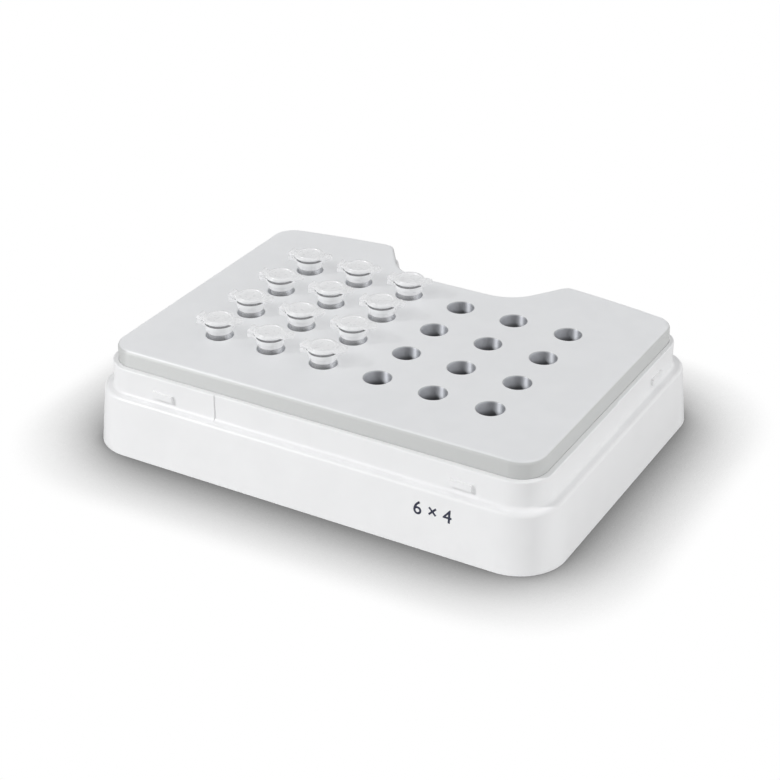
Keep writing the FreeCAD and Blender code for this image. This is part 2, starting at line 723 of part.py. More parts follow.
def make_cap(x, y):
    """Cap with a raised ring, a shoulder, a hollow plug, a thumb lip and a hinge bead."""
    rim = TUBE_RIM_Z
    seat = rim + CAP_CLEARANCE
    low = seat + CAP_SHOULDER_HEIGHT
    top = low + CAP_THICKNESS
    plug_radius = TUBE_BORE_RADIUS - CAP_CLEARANCE
    plug_end = plug_radius - PLUG_TAPER
    ring_in = (CAP_RING_DIAMETER - CAP_RING_WIDTH) / 2
    ring_out = (CAP_RING_DIAMETER + CAP_RING_WIDTH) / 2
    points = [
        (0, top),
        (ring_in, top),
        (ring_in, top + CAP_RING_HEIGHT),
        (ring_out, top + CAP_RING_HEIGHT),
        (ring_out, top),
        (CAP_RADIUS - CAP_CHAMFER, top),
        (CAP_RADIUS, top - CAP_CHAMFER),
        (CAP_RADIUS, low),
        (CAP_SHOULDER_DIAMETER / 2, low),
        (CAP_SHOULDER_DIAMETER / 2, seat),
        (plug_radius, seat),
        (plug_end, seat - PLUG_LENGTH),
        (plug_end - PLUG_WALL, seat - PLUG_LENGTH),
        (plug_end - PLUG_WALL, low),
        (0, low),
        (0, top),
    ]
    cap = turned(profile_lines(points), 0, 0)
    half = HINGE_WIDTH / 2
    tongue = box((-HINGE_X, -CAP_RADIUS + CAP_THICKNESS), (-half, half), (low, top))
    bead = Part.makeCylinder(HINGE_BEAD_RADIUS, HINGE_WIDTH, Vector(-HINGE_X, -half, hinge_z()), Vector(0, 1, 0))
    lip_centre = CAP_RADIUS + LIP_REACH - LIP_WIDTH / 2
    lip = box((CAP_SHOULDER_DIAMETER / 2, lip_centre), (-LIP_WIDTH / 2, LIP_WIDTH / 2), (low, top))
    lip_end = cylinder(LIP_WIDTH / 2, lip_centre, 0, low, top)
    return placed_tube(cap.fuse([tongue, bead, lip, lip_end]).removeSplitter(), x, y)


def placed_tube(piece, x, y):
    """A piece of a tube turned to the way the tube stands and moved to its well."""
    piece.rotate(Vector(0, 0, 0), UP, TUBE_TURN)
    piece.translate(Vector(x, y, 0))
    return piece


def make_pieces():
    """Every piece by name, measured from the centre of the well grid."""
    pieces = {
        "sample_block": make_sample_block(),
        "housing_frame": make_housing_frame(),
        "block_gasket": make_block_gasket(),
        "block_screws": make_block_screws(),
        "heater_mat": make_heater_mat(),
        "insulation_pad": make_insulation_pad(),
        "bottom_cover": make_bottom_cover(),
        "cover_screws": make_cover_screws(),
        "temperature_sensor": make_probe(-PROBE_X, SENSOR_RADIUS),
        "sensor_lead": make_probe_lead(-PROBE_X),
        "thermal_cutout": make_probe(PROBE_X, CUTOUT_RADIUS),
        "cutout_lead": make_probe_lead(PROBE_X),
        "heater_leads": make_heater_leads(),
        "contact_board": make_contact_board(),
        "contact_pins": make_contact_pins(),
        "board_screws": make_board_screws(),
        "locating_bushes": make_locating_bushes(),
    }
    for name, column, x, y in well_places():
        if column < TUBE_COLUMNS:
            pieces["tube_" + name] = make_tube(x, y)
            pieces["cap_" + name] = make_cap(x, y)
    return pieces


def middle_y():
    """Middle of the base's depth, from the centre of the well grid."""
    mouth_centre, mouth_radius = mouth_round(SKIRT_BOTTOM_OFFSET)
    front = -BLOCK_FRONT - SKIRT_BOTTOM_OFFSET
    return (front + mouth_centre.y + mouth_radius) / 2


def main():
    """Write one STEP file for each piece."""
    os.makedirs("parts", exist_ok=True)
    shift = Vector(0, -middle_y(), 0)
    for name, shape in make_pieces().items():
        shape.translate(shift)
        shape.exportStep(os.path.join("parts", name + ".step"))


main()
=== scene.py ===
"""Dresses the heating block module and sets up the studio that it is seen in.

The block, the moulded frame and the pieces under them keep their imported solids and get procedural
finishes. The tubes, their caps, the screws of the cover and the mark on the front are modelled here.
Sizes in the classes are in millimetres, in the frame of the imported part. Blender's own lengths are
metres.
"""

import logging
import math
from collections.abc import Callable, Sequence
from dataclasses import dataclass
from enum import Enum
from functools import cached_property

import bpy
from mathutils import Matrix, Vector


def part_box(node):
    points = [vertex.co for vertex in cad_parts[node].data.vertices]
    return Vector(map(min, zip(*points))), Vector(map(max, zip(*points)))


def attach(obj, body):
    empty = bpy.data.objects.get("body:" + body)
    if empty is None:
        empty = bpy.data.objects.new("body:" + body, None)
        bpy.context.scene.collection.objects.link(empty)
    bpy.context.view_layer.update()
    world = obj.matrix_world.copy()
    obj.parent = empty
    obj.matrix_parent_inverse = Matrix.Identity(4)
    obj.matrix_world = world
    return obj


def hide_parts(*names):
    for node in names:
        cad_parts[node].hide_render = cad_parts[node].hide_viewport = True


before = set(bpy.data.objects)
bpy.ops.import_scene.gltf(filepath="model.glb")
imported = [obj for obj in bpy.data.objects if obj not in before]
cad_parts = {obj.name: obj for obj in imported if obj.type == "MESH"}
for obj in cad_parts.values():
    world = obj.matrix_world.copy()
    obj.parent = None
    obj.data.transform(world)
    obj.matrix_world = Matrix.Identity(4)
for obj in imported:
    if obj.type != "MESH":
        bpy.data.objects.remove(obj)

LOG = logging.getLogger("heating_block_scene")
MM = 0.001
ORIGIN = (0.0, 0.0, 0.0)
WHITE = (1.0, 1.0, 1.0)

# Corners closer than the gap become one. Edges sharper than the first angle are rounded, and faces
# that meet at less than the second one are shaded as one surface.
MERGE_GAP = 0.002
BEVEL_ANGLE = math.radians(32)
SMOOTH_ANGLE = math.radians(38)
SOFT_STEPS = 2

# Least part of a face's normal along the way that it looks, and most part across it.
FACING = 0.9
ACROSS = 0.1

# Spacing and number of the wells along X and Y, and the shift of their rows.
WELL_PITCH = (18.0, 17.0)
WELL_COUNT = (6, 4)
WELL_ROW_SHIFT = 3.3702

# Length of one band of Blender's wave texture at scale one.
WAVE_LENGTH = 0.31

Colour = tuple[float, float, float]
Point = tuple[float, float]
Span = tuple[float, float]
Source = bpy.types.NodeSocket | float | tuple


class SelectBy(Enum):
    """What a click selects in edit mode."""

    CORNERS = "VERT"
    FACES = "FACE"


class Joining(Enum):
    """What a tool does to a piece."""

    ADD = "UNION"
    CUT = "DIFFERENCE"


class SocketKind(Enum):
    """Kinds of socket on a node group."""

    NUMBER = "NodeSocketFloat"
    COLOUR = "NodeSocketColor"
    VECTOR = "NodeSocketVector"


# Bench tools: small steps of hand modelling


def work_alone() -> None:
    """Leave edit mode and deselect everything, so that the next operator acts on its own piece."""
    if bpy.context.mode != "OBJECT":
        bpy.ops.object.mode_set(mode="OBJECT")
    bpy.ops.object.select_all(action="DESELECT")


def hold(piece: bpy.types.Object) -> None:
    """Make a piece the only selected and active object.

    Args:
        piece: The piece.
    """
    work_alone()
    piece.select_set(True)
    bpy.context.view_layer.objects.active = piece


def open_piece(piece: bpy.types.Object, select_by: SelectBy) -> None:
    """Open a piece in edit mode with nothing selected.

    Args:
        piece: The piece to open.
        select_by: What is selected in it.
    """
    hold(piece)
    bpy.ops.object.mode_set(mode="EDIT")
    bpy.ops.mesh.select_mode(type=select_by.value)
    bpy.ops.mesh.select_all(action="DESELECT")


def pick_faces(piece: bpy.types.Object, wanted: Callable[[Vector, Vector], bool]) -> None:
    """Select faces by their place, and leave the piece open in edit mode.

    Args:
        piece: The piece to open.
        wanted: Test of a face's centre and normal, with the centre in millimetres.
    """
    open_piece(piece, SelectBy.FACES)
    bpy.ops.object.mode_set(mode="OBJECT")
    for face in piece.data.polygons:
        face.select = wanted(face.center / MM, face.normal)
    bpy.ops.object.mode_set(mode="EDIT")


def pull(step: Sequence[float]) -> None:
    """Extrude the selected faces by a step in millimetres."""
    bpy.ops.mesh.extrude_region_move(TRANSFORM_OT_translate={"value": [value * MM for value in step]})


def squeeze(scale: Sequence[float], centre: Sequence[float]) -> None:
    """Scale what is selected about a centre in millimetres."""
    bpy.ops.transform.resize(value=scale, center_override=[value * MM for value in centre])


def pull_flat(end: float) -> None:
    """Extrude the selected faces along X to a flat end at a place in millimetres."""
    pull(ORIGIN)
    squeeze((0.0, 1.0, 1.0), (end, 0.0, 0.0))


def turn_profile(name: str, profile: Sequence[Point], steps: int) -> bpy.types.Object:
    """Spin a profile about the upright axis into a closed piece.

    Args:
        name: The piece's name.
        profile: Radius and height of each corner in millimetres, from the axis back to the axis.
        steps: Number of sides round the axis.

    Returns:
        The turned piece, with its faces pointing outwards.
    """
    work_alone()
    bpy.ops.mesh.primitive_plane_add(size=MM)
    piece = bpy.context.active_object
    piece.name = name
    open_piece(piece, SelectBy.CORNERS)
    bpy.ops.mesh.select_all(action="SELECT")
    bpy.ops.mesh.merge(type="CENTER")
    bpy.ops.transform.translate(value=(profile[0][0] * MM, 0.0, profile[0][1] * MM))
    for start, end in zip(profile, profile[1:]):
        step = ((end[0] - start[0]) * MM, 0.0, (end[1] - start[1]) * MM)
        bpy.ops.mesh.extrude_vertices_move(TRANSFORM_OT_translate={"value": step})
    bpy.ops.mesh.select_all(action="SELECT")
    bpy.ops.mesh.spin(steps=steps, angle=2 * math.pi, center=ORIGIN, axis=(0, 0, 1))
    bpy.ops.mesh.select_all(action="SELECT")
    bpy.ops.mesh.remove_doubles(threshold=MERGE_GAP * MM)
    bpy.ops.mesh.normals_make_consistent(inside=False)
    bpy.ops.object.mode_set(mode="OBJECT")
    return piece


def quarter_round(radius: float, height: float, steps: int) -> list[Point]:
    """Corners of a round tip.

    Args:
        radius: Radius of the tip.
        height: Height of the tip's full radius.
        steps: Number of sides.

    Returns:
        Radius and height of each corner, from the full radius down to the axis.
    """
    corners = []
    for step in range(steps):
        angle = math.pi / 2 * step / steps
        corners.append((radius * math.cos(angle), height - radius * math.sin(angle)))
    return corners + [(0.0, height - radius)]


def merge_with(piece: bpy.types.Object, tool: bpy.types.Object, joining: Joining) -> None:
    """Join a tool to a piece, or cut it out, and remove the tool.

    Args:
        piece: The piece that stays.
        tool: The piece that is used up.
        joining: Whether the tool is added or cut out.
    """
    hold(piece)
    modifier = piece.modifiers.new("join", "BOOLEAN")
    modifier.object = tool
    modifier.operation = joining.value
    modifier.solver = "EXACT"
    bpy.ops.object.modifier_apply(modifier=modifier.name)
    bpy.data.objects.remove(tool)


def soften_edges(piece: bpy.types.Object, width: float) -> None:
    """Round the sharp edges of a piece and shade it smooth.

    Args:
        piece: The piece.
        width: Width of the rounding in millimetres.
    """
    hold(piece)
    modifier = piece.modifiers.new("soft_edges", "BEVEL")
    modifier.width = width * MM
    modifier.segments = SOFT_STEPS
    modifier.limit_method = "ANGLE"
    modifier.angle_limit = BEVEL_ANGLE
    modifier.use_clamp_overlap = True
    bpy.ops.object.modifier_apply(modifier=modifier.name)
    bpy.ops.object.shade_smooth_by_angle(angle=SMOOTH_ANGLE)


def copy_to(
    piece: bpy.types.Object, name: str, place: Sequence[float], turn: float
) -> bpy.types.Object:
    """Copy a piece, turn it about the upright axis and move it, with its place kept in its own mesh.

    Args:
        piece: The piece to copy, at the origin.
        name: The copy's name.
        place: Move in millimetres.
        turn: Turn in degrees.

    Returns:
        The copy.
    """
    hold(piece)
    bpy.ops.object.duplicate(linked=False)
    twin = bpy.context.active_object
    twin.name = name
    twin.location = [value * MM for value in place]
    twin.rotation_euler = (0.0, 0.0, math.radians(turn))
    bpy.ops.object.transform_apply(location=True, rotation=True, scale=True)
    return twin


def dress(piece: bpy.types.Object, material: bpy.types.Material) -> None:
    """Give a piece one material in every slot."""
    piece.data.materials.clear()
    piece.data.materials.append(material)


# Node tools


def rgba(colour: Colour) -> tuple[float, float, float, float]:
    """Colour with full cover."""
    return (*colour, 1.0)


class NodeBench:
    """Adds and links the nodes of one material or node group."""

    def __init__(self, tree: bpy.types.NodeTree) -> None:
        """Work on a node tree."""
        self.tree = tree

    def add(self, kind: str, **settings: object) -> bpy.types.Node:
        """Add a node.

        Args:
            kind: Blender's name of the node type.
            settings: Values of the node's own properties.

        Returns:
            The node.
        """
        node = self.tree.nodes.new(kind)
        for name, value in settings.items():
            setattr(node, name, value)
        return node

    def connect(self, source: Source, socket: bpy.types.NodeSocket) -> None:
        """Link a socket to another one, or set its value.

        Args:
            source: The other socket, or the value.
            socket: The input that takes it.
        """
        if isinstance(source, bpy.types.NodeSocket):
            self.tree.links.new(source, socket)
        else:
            socket.default_value = source

    def feed(self, node: bpy.types.Node, **sources: Source) -> bpy.types.Node:
        """Link or set a node's inputs.

        Args:
            node: The node.
            sources: A socket or a value for each input, with _ for a space in its name.

        Returns:
            The same node.
        """
        for name, source in sources.items():
            self.connect(source, node.inputs[name.replace("_", " ")])
        return node

    def math(self, operation: str, *sources: Source) -> bpy.types.NodeSocket:
        """Result of a Math node.

        Args:
            operation: Blender's name of the operation.
            sources: A socket or a number for each input.

        Returns:
            The node's output.
        """
        node = self.add("ShaderNodeMath", operation=operation)
        for socket, source in zip(node.inputs, sources):
            self.connect(source, socket)
        return node.outputs["Value"]

    def product(self, result: Source, *others: Source) -> bpy.types.NodeSocket:
        """Product of two or more numbers.

        Args:
            result: First number.
            others: The other numbers.

        Returns:
            The product.
        """
        for value in others:
            result = self.math("MULTIPLY", result, value)
        return result

    def dot(self, first: Source, second: Source) -> bpy.types.NodeSocket:
        """Dot product of two vectors.

        Args:
            first: First vector.
            second: Second vector.

        Returns:
            The product.
        """
        node = self.add("ShaderNodeVectorMath", operation="DOT_PRODUCT")
        for socket, source in zip(node.inputs, (first, second)):
            self.connect(source, socket)
        return node.outputs["Value"]

    def remap(
        self,
        value: Source,
        low: float,
        high: float,
        new_low: Source = 0.0,
        new_high: Source = 1.0,
    ) -> bpy.types.NodeSocket:
        """Value moved smoothly from one range to another.

        Args:
            value: The value.
            low: Value that becomes new_low.
            high: Value that becomes new_high.
            new_low: Start of the new range.
            new_high: End of the new range.

        Returns:
            The moved value.
        """
        node = self.add("ShaderNodeMapRange", interpolation_type="SMOOTHSTEP")
        self.feed(node, Value=value, From_Min=low, From_Max=high, To_Min=new_low, To_Max=new_high)
        return node.outputs["Result"]

    def blend(self, share: Source, first: Source, second: Source) -> bpy.types.NodeSocket:
        """Mix of two colours.

        Args:
            share: Share of the second colour.
            first: First colour.
            second: Second colour.

        Returns:
            The mixed colour.
        """
        node = self.add("ShaderNodeMix", data_type="RGBA")
        sockets = {socket.identifier: socket for socket in (*node.inputs, *node.outputs)}
        self.connect(share, sockets["Factor_Float"])
        self.connect(first, sockets["A_Color"])
        self.connect(second, sockets["B_Color"])
        return sockets["Result_Color"]

    def mix(self, share: Source, first: Source, second: Source) -> bpy.types.NodeSocket:
        """Mix of two numbers.

        Args:
            share: Share of the second number.
            first: First number.
            second: Second number.

        Returns:
            The mixed number.
        """
        node = self.add("ShaderNodeMix", data_type="FLOAT")
        self.feed(node, Factor=share, A=first, B=second)
        return node.outputs["Result"]

    def bump(
        self, height: Source, depth: float, strength: float, normal: Source | None = None
    ) -> bpy.types.NodeSocket:
        """Normal of a rough surface.

        Args:
            height: Height of the surface, from 0 to 1.
            depth: Depth of the roughness in millimetres.
            strength: Strength from 0 to 1.
            normal: Normal that the bumps are added to.

        Returns:
            The normal.
        """
        node = self.add("ShaderNodeBump")
        self.feed(node, Height=height, Distance=depth * MM, Strength=strength)
        if normal is not None:
            self.feed(node, Normal=normal)
        return node.outputs["Normal"]


class GroupBench(NodeBench):
    """Nodes of one node group, with its sockets ready."""

    def __init__(
        self, name: str, inputs: dict[str, SocketKind], outputs: dict[str, SocketKind]
    ) -> None:
        """Start a group.

        Args:
            name: The group's name.
            inputs: Kind of each input.
            outputs: Kind of each output.
        """
        super().__init__(bpy.data.node_groups.new(name, "ShaderNodeTree"))
        for way, sockets in (("INPUT", inputs), ("OUTPUT", outputs)):
            for socket, kind in sockets.items():
                self.tree.interface.new_socket(name=socket, in_out=way, socket_type=kind.value)
        self.given = self.add("NodeGroupInput").outputs
        self.made = self.add("NodeGroupOutput")

    def texture(self, kind: str, values: dict[str, float], **settings: str) -> bpy.types.NodeSocket:
        """Texture on the place and at the scale that the group is given.

        Args:
            kind: Blender's name of the texture node.
            values: Value of each of its other inputs.
            settings: Values of the node's own properties.

        Returns:
            The texture's value.
        """
        node = self.add(kind, **settings)
        self.feed(node, Vector=self.given["Vector"], Scale=self.given["Scale"], **values)
        return node.outputs["Fac"]


class Effects:
    """Node groups that more than one finish uses."""

    GRAIN_NOISE = {"Detail": 3.0, "Roughness": 0.6}
    GRAIN_SPAN = (0.32, 0.68)
    MOTTLE_NOISE = {"Detail": 2.0, "Roughness": 0.5}
    MOTTLE_SPAN = (0.35, 0.65)
    RING_WAVE = {"Distortion": 0.6, "Detail": 2.0}
    EDGE_SAMPLES = 6
    EDGE_SPAN = (0.995, 0.8)

    def __init__(self) -> None:
        """Build every group once."""
        self.grain = self._grain()
        self.mottle = self._mottle()
        self.edges = self._edges()
        self.rings = self._rings()

    def _grain(self) -> bpy.types.ShaderNodeTree:
        """Fine grain: a height for bumps and a value between two limits.

        Returns:
            The group.
        """
        number = SocketKind.NUMBER
        inputs = {"Vector": SocketKind.VECTOR, "Scale": number, "Low": number, "High": number}
        bench = GroupBench("fine_grain", inputs, {"Height": number, "Value": number})
        height = bench.texture("ShaderNodeTexNoise", self.GRAIN_NOISE)
        value = bench.remap(height, *self.GRAIN_SPAN, bench.given["Low"], bench.given["High"])
        bench.feed(bench.made, Height=height, Value=value)
        return bench.tree

    def _mottle(self) -> bpy.types.ShaderNodeTree:
        """Slow change between two colours, as in a moulding or a casting.

        Returns:
            The group.
        """
        inputs = {
            "Vector": SocketKind.VECTOR,
            "Scale": SocketKind.NUMBER,
            "First": SocketKind.COLOUR,
            "Second": SocketKind.COLOUR,
        }
        bench = GroupBench("slow_mottle", inputs, {"Colour": SocketKind.COLOUR})
        noise = bench.texture("ShaderNodeTexNoise", self.MOTTLE_NOISE)
        mask = bench.remap(noise, *self.MOTTLE_SPAN)
        mixed = bench.blend(mask, bench.given["First"], bench.given["Second"])
        bench.feed(bench.made, Colour=mixed)
        return bench.tree

    def _edges(self) -> bpy.types.ShaderNodeTree:
        """Softened edges: the normal of rounded edges, and a mask of where they are.

        Returns:
            The group.
        """
        outputs = {"Normal": SocketKind.VECTOR, "Mask": SocketKind.NUMBER}
        bench = GroupBench("soft_edges", {"Radius": SocketKind.NUMBER}, outputs)
        bevel = bench.add("ShaderNodeBevel", samples=self.EDGE_SAMPLES)
        rounded = bench.feed(bevel, Radius=bench.given["Radius"]).outputs["Normal"]
        flat = bench.add("ShaderNodeNewGeometry").outputs["Normal"]
        mask = bench.remap(bench.dot(rounded, flat), *self.EDGE_SPAN)
        bench.feed(bench.made, Normal=rounded, Mask=mask)
        return bench.tree

    def _rings(self) -> bpy.types.ShaderNodeTree:
        """Turning marks: fine rings one above the other.

        Returns:
            The group.
        """
        inputs = {"Vector": SocketKind.VECTOR, "Scale": SocketKind.NUMBER}
        bench = GroupBench("turning_marks", inputs, {"Height": SocketKind.NUMBER})
        height = bench.texture("ShaderNodeTexWave", self.RING_WAVE, bands_direction="Z")
        bench.feed(bench.made, Height=height)
        return bench.tree


class FinishBench(NodeBench):
    """Nodes of one material, with its coordinates and its shader ready."""

    def __init__(self, name: str, effects: Effects) -> None:
        """Start a material.

        Args:
            name: The material's name.
            effects: Shared node groups.
        """
        self.material = bpy.data.materials.new(name)
        self.material.use_nodes = True
        super().__init__(self.material.node_tree)
        self.effects = effects
        coordinates = self.add("ShaderNodeTexCoord").outputs
        self.place = coordinates["Object"]
        self.normal = coordinates["Normal"]

    @cached_property
    def axes(self) -> bpy.types.bpy_prop_collection:
        """Place on the piece along each axis, in Blender's lengths."""
        return self.feed(self.add("ShaderNodeSeparateXYZ"), Vector=self.place).outputs

    def along(self, axis: str) -> bpy.types.NodeSocket:
        """Place on the piece along an axis in millimetres."""
        return self.math("MULTIPLY", self.axes[axis], 1.0 / MM)

    def group(self, tree: bpy.types.ShaderNodeTree, **sources: Source) -> bpy.types.Node:
        """Place a shared group and feed it."""
        return self.feed(self.add("ShaderNodeGroup", node_tree=tree), **sources)

    def grain(self, size: float, span: Span) -> bpy.types.Node:
        """Fine grain on the piece.

        Args:
            size: Size of the grain in millimetres.
            span: Limits of its value.

        Returns:
            The group's node, with a height and a value.
        """
        low, high = span
        scale = 1.0 / (size * MM)
        return self.group(self.effects.grain, Vector=self.place, Scale=scale, Low=low, High=high)

    def mottle(self, size: float, first: Colour, second: Colour) -> bpy.types.NodeSocket:
        """Slow change between two colours on the piece.

        Args:
            size: Size of the patches in millimetres.
            first: First colour.
            second: Second colour.

        Returns:
            The mottled colour.
        """
        pair = {"First": rgba(first), "Second": rgba(second)}
        scale = 1.0 / (size * MM)
        node = self.group(self.effects.mottle, Vector=self.place, Scale=scale, **pair)
        return node.outputs["Colour"]

    def soft_edges(self, radius: float) -> bpy.types.Node:
        """Edges rounded by a radius in millimetres."""
        return self.group(self.effects.edges, Radius=radius * MM)

    def rings(self, pitch: float) -> bpy.types.NodeSocket:
        """Height of turning marks of a pitch in millimetres."""
        scale = WAVE_LENGTH / (pitch * MM)
        return self.group(self.effects.rings, Vector=self.place, Scale=scale).outputs["Height"]

    def grid_places(self) -> tuple[bpy.types.NodeSocket, bpy.types.NodeSocket]:
        """Place in millimetres along and across the grid of wells, from its middle."""
        return self.along("X"), self.math("ADD", self.along("Y"), WELL_ROW_SHIFT)

    def well_distance(self) -> bpy.types.NodeSocket:
        """Distance in millimetres from the axis of the nearest well.

        Returns:
            The distance.
        """
        squares = []
        for value, pitch in zip(self.grid_places(), WELL_PITCH):
            share = self.math("FRACT", self.math("DIVIDE", value, pitch))
            offset = self.product(self.math("SUBTRACT", share, 0.5), pitch)
            squares.append(self.product(offset, offset))
        return self.math("SQRT", self.math("ADD", *squares))

    def finish(self, **sources: Source) -> bpy.types.Material:
        """Feed the shader and hand over the material."""
        self.feed(self.tree.nodes["Principled BSDF"], **sources)
        return self.material


# Finishes


@dataclass(frozen=True)
class BlastedAluminium:
    """Bead blasted block with machined wells, with painted shade on its upright sides and deep in its
    wells.
    """

    name: str
    light: Colour = (0.895, 0.905, 0.92)
    dark: Colour = (0.88, 0.89, 0.905)
    # Colour of the upright faces: painted shade that keeps the sides darker than the top.
    side: Colour = (0.645, 0.655, 0.65)
    bore: Colour = (0.70, 0.715, 0.75)
    # Painted shade deep in the wells: the bore colour darkens to this towards the bottom.
    painted_bore_shade: Colour = (0.22, 0.225, 0.24)
    metal: float = 0.13
    bore_metal: float = 0.85
    roughness: Span = (0.50, 0.60)
    bore_roughness: float = 0.74
    bore_streak: float = 0.9
    streak_lean: float = 0.01
    mottle_size: float = 9.0
    grain_size: float = 0.16
    ring_pitch: float = 0.25
    bump_depth: float = 0.01
    bump_strength: float = 0.25
    painted_side_slopes: Span = (0.985, 0.62)
    bore_radii: Span = (4.22, 4.12)
    bore_heights: Span = (31.68, 31.58)
    # Heights over which the painted shade in the wells darkens towards the bottom.
    painted_depth_heights: Span = (29.3, 27.1)

    def _bore_mask(self, bench: FinishBench) -> bpy.types.NodeSocket:
        """Mask of the well walls, found from the distance to the nearest well's axis.

        Args:
            bench: Nodes of the material.

        Returns:
            One in the wells and zero elsewhere.
        """
        inside = bench.remap(bench.well_distance(), *self.bore_radii)
        below = bench.remap(bench.along("Z"), *self.bore_heights)
        grid = []
        for value, pitch, count in zip(bench.grid_places(), WELL_PITCH, WELL_COUNT):
            half = pitch * count / 2
            grid.append(bench.math("LESS_THAN", bench.math("ABSOLUTE", value), half))
        return bench.product(inside, below, *grid)

    def build(self, effects: Effects) -> bpy.types.Material:
        """Make the material.

        Args:
            effects: Shared node groups.

        Returns:
            The material.
        """
        bench = FinishBench(self.name, effects)
        tone = bench.mottle(self.mottle_size, self.light, self.dark)
        grain = bench.grain(self.grain_size, self.roughness)
        # Painted shade: faces that stand upright take the darker side colour instead of the top's
        # tone.
        rise = bench.feed(bench.add("ShaderNodeSeparateXYZ"), Vector=bench.normal).outputs["Z"]
        upright = bench.remap(bench.math("ABSOLUTE", rise), *self.painted_side_slopes)
        outside = bench.blend(upright, tone, rgba(self.side))
        # Painted shade: the well walls get darker towards the bottom.
        painted_depth_shade = bench.remap(bench.along("Z"), *self.painted_depth_heights)
        inside = bench.blend(painted_depth_shade, rgba(self.bore), rgba(self.painted_bore_shade))
        bore = self._bore_mask(bench)
        height = bench.mix(bore, grain.outputs["Height"], bench.rings(self.ring_pitch))
        # The turned marks in a well spread its shine along the axis, nearly straight up.
        axis = bench.feed(bench.add("ShaderNodeCombineXYZ"), X=self.streak_lean, Z=1.0)
        return bench.finish(
            Base_Color=bench.blend(bore, outside, inside),
            Metallic=bench.mix(bore, self.metal, self.bore_metal),
            Roughness=bench.mix(bore, grain.outputs["Value"], self.bore_roughness),
            Normal=bench.bump(height, self.bump_depth, self.bump_strength),
            Anisotropic=self.bore_streak,
            Tangent=axis.outputs["Vector"],
        )


@dataclass(frozen=True)
class MouldedPlastic:
    """Opaque moulded plastic with a fine spark eroded texture."""

    name: str
    light: Colour
    dark: Colour
    roughness: Span
    grain_size: float
    bump_depth: float
    bump_strength: float = 0.3
    mottle_size: float = 14.0
    edge_radius: float = 0.22
    refraction: float = 1.5

    def build(self, effects: Effects) -> bpy.types.Material:
        """Make the material.

        Args:
            effects: Shared node groups.

        Returns:
            The material.
        """
        bench = FinishBench(self.name, effects)
        grain = bench.grain(self.grain_size, self.roughness)
        height = grain.outputs["Height"]
        edges = bench.soft_edges(self.edge_radius).outputs["Normal"]
        return bench.finish(
            Base_Color=bench.mottle(self.mottle_size, self.light, self.dark),
            Roughness=grain.outputs["Value"],
            Normal=bench.bump(height, self.bump_depth, self.bump_strength, edges),
            IOR=self.refraction,
        )


@dataclass(frozen=True)
class NaturalPolypropylene:
    """Milky plastic of the tubes and caps, with a clearer wall below a height and painted shade in the
    gap under each cap.
    """

    name: str
    cover: Span
    milky_heights: Span
    roughness: Span
    light: Colour = (0.92, 0.925, 0.935)
    dark: Colour = (0.89, 0.895, 0.905)
    mottle_size: float = 2.0
    grain_size: float = 1.2
    refraction: float = 1.49
    shadow_share: float = 0.1
    # Painted shade in the gap between a tube's rim and its cap: its colour, and how and where the
    # darkening is laid on.
    painted_gap_shade: Colour = (0.10, 0.102, 0.11)
    gap_samples: int = 8
    gap_reach: float = 1.8
    gap_openness: Span = (0.82, 0.40)
    gap_low: float = 35.25
    gap_high: float = 36.95
    gap_radius: float = 4.9

    def _painted_gap_shade_mask(self, bench: FinishBench) -> bpy.types.NodeSocket:
        """Mask of the painted shade in the narrow gap between a rim and its cap, which little light
        reaches.

        Args:
            bench: Nodes of the material.

        Returns:
            One in a gap and zero elsewhere.
        """
        near = bench.add("ShaderNodeAmbientOcclusion", samples=self.gap_samples)
        bench.feed(near, Distance=self.gap_reach * MM)
        narrow = bench.remap(near.outputs["AO"], *self.gap_openness)
        height = bench.along("Z")
        above = bench.math("GREATER_THAN", height, self.gap_low)
        below = bench.math("LESS_THAN", height, self.gap_high)
        ring = bench.math("LESS_THAN", bench.well_distance(), self.gap_radius)
        inside = bench.add("ShaderNodeNewGeometry").outputs["Backfacing"]
        return bench.product(narrow, above, below, ring, bench.math("SUBTRACT", 1.0, inside))

    def build(self, effects: Effects) -> bpy.types.Material:
        """Make the material, which lets most of the light through to what stands behind it.

        Args:
            effects: Shared node groups.

        Returns:
            The material.
        """
        bench = FinishBench(self.name, effects)
        tone = bench.mottle(self.mottle_size, self.light, self.dark)
        milky = bench.remap(bench.along("Z"), *self.milky_heights, *self.cover)
        rays = bench.add("ShaderNodeLightPath").outputs
        passing = bench.math("MAXIMUM", rays["Is Shadow Ray"], rays["Is Diffuse Ray"])
        share = bench.remap(passing, 0.0, 1.0, 1.0, self.shadow_share)
        return bench.finish(
            # Painted shade darkens the colour in the gap under the cap.
            Base_Color=bench.blend(self._painted_gap_shade_mask(bench), tone, rgba(self.painted_gap_shade)),
            Roughness=bench.grain(self.grain_size, self.roughness).outputs["Value"],
            IOR=self.refraction,
            Alpha=bench.product(milky, share),
        )


@dataclass(frozen=True)
class SheetRubber:
    """Silicone or foam, with pores and dusty patches."""

    name: str
    light: Colour
    dark: Colour
    roughness: Span
    pore_size: float
    bump_depth: float
    bump_strength: float = 0.5
    mottle_size: float = 5.0

    def build(self, effects: Effects) -> bpy.types.Material:
        """Make the material.

        Args:
            effects: Shared node groups.

        Returns:
            The material.
        """
        bench = FinishBench(self.name, effects)
        tone = bench.mottle(self.mottle_size, self.light, self.dark)
        grain = bench.grain(self.pore_size, self.roughness)
        height = grain.outputs["Height"]
        return bench.finish(
            Base_Color=bench.blend(height, rgba(self.dark), tone),
            Roughness=grain.outputs["Value"],
            Normal=bench.bump(height, self.bump_depth, self.bump_strength),
        )


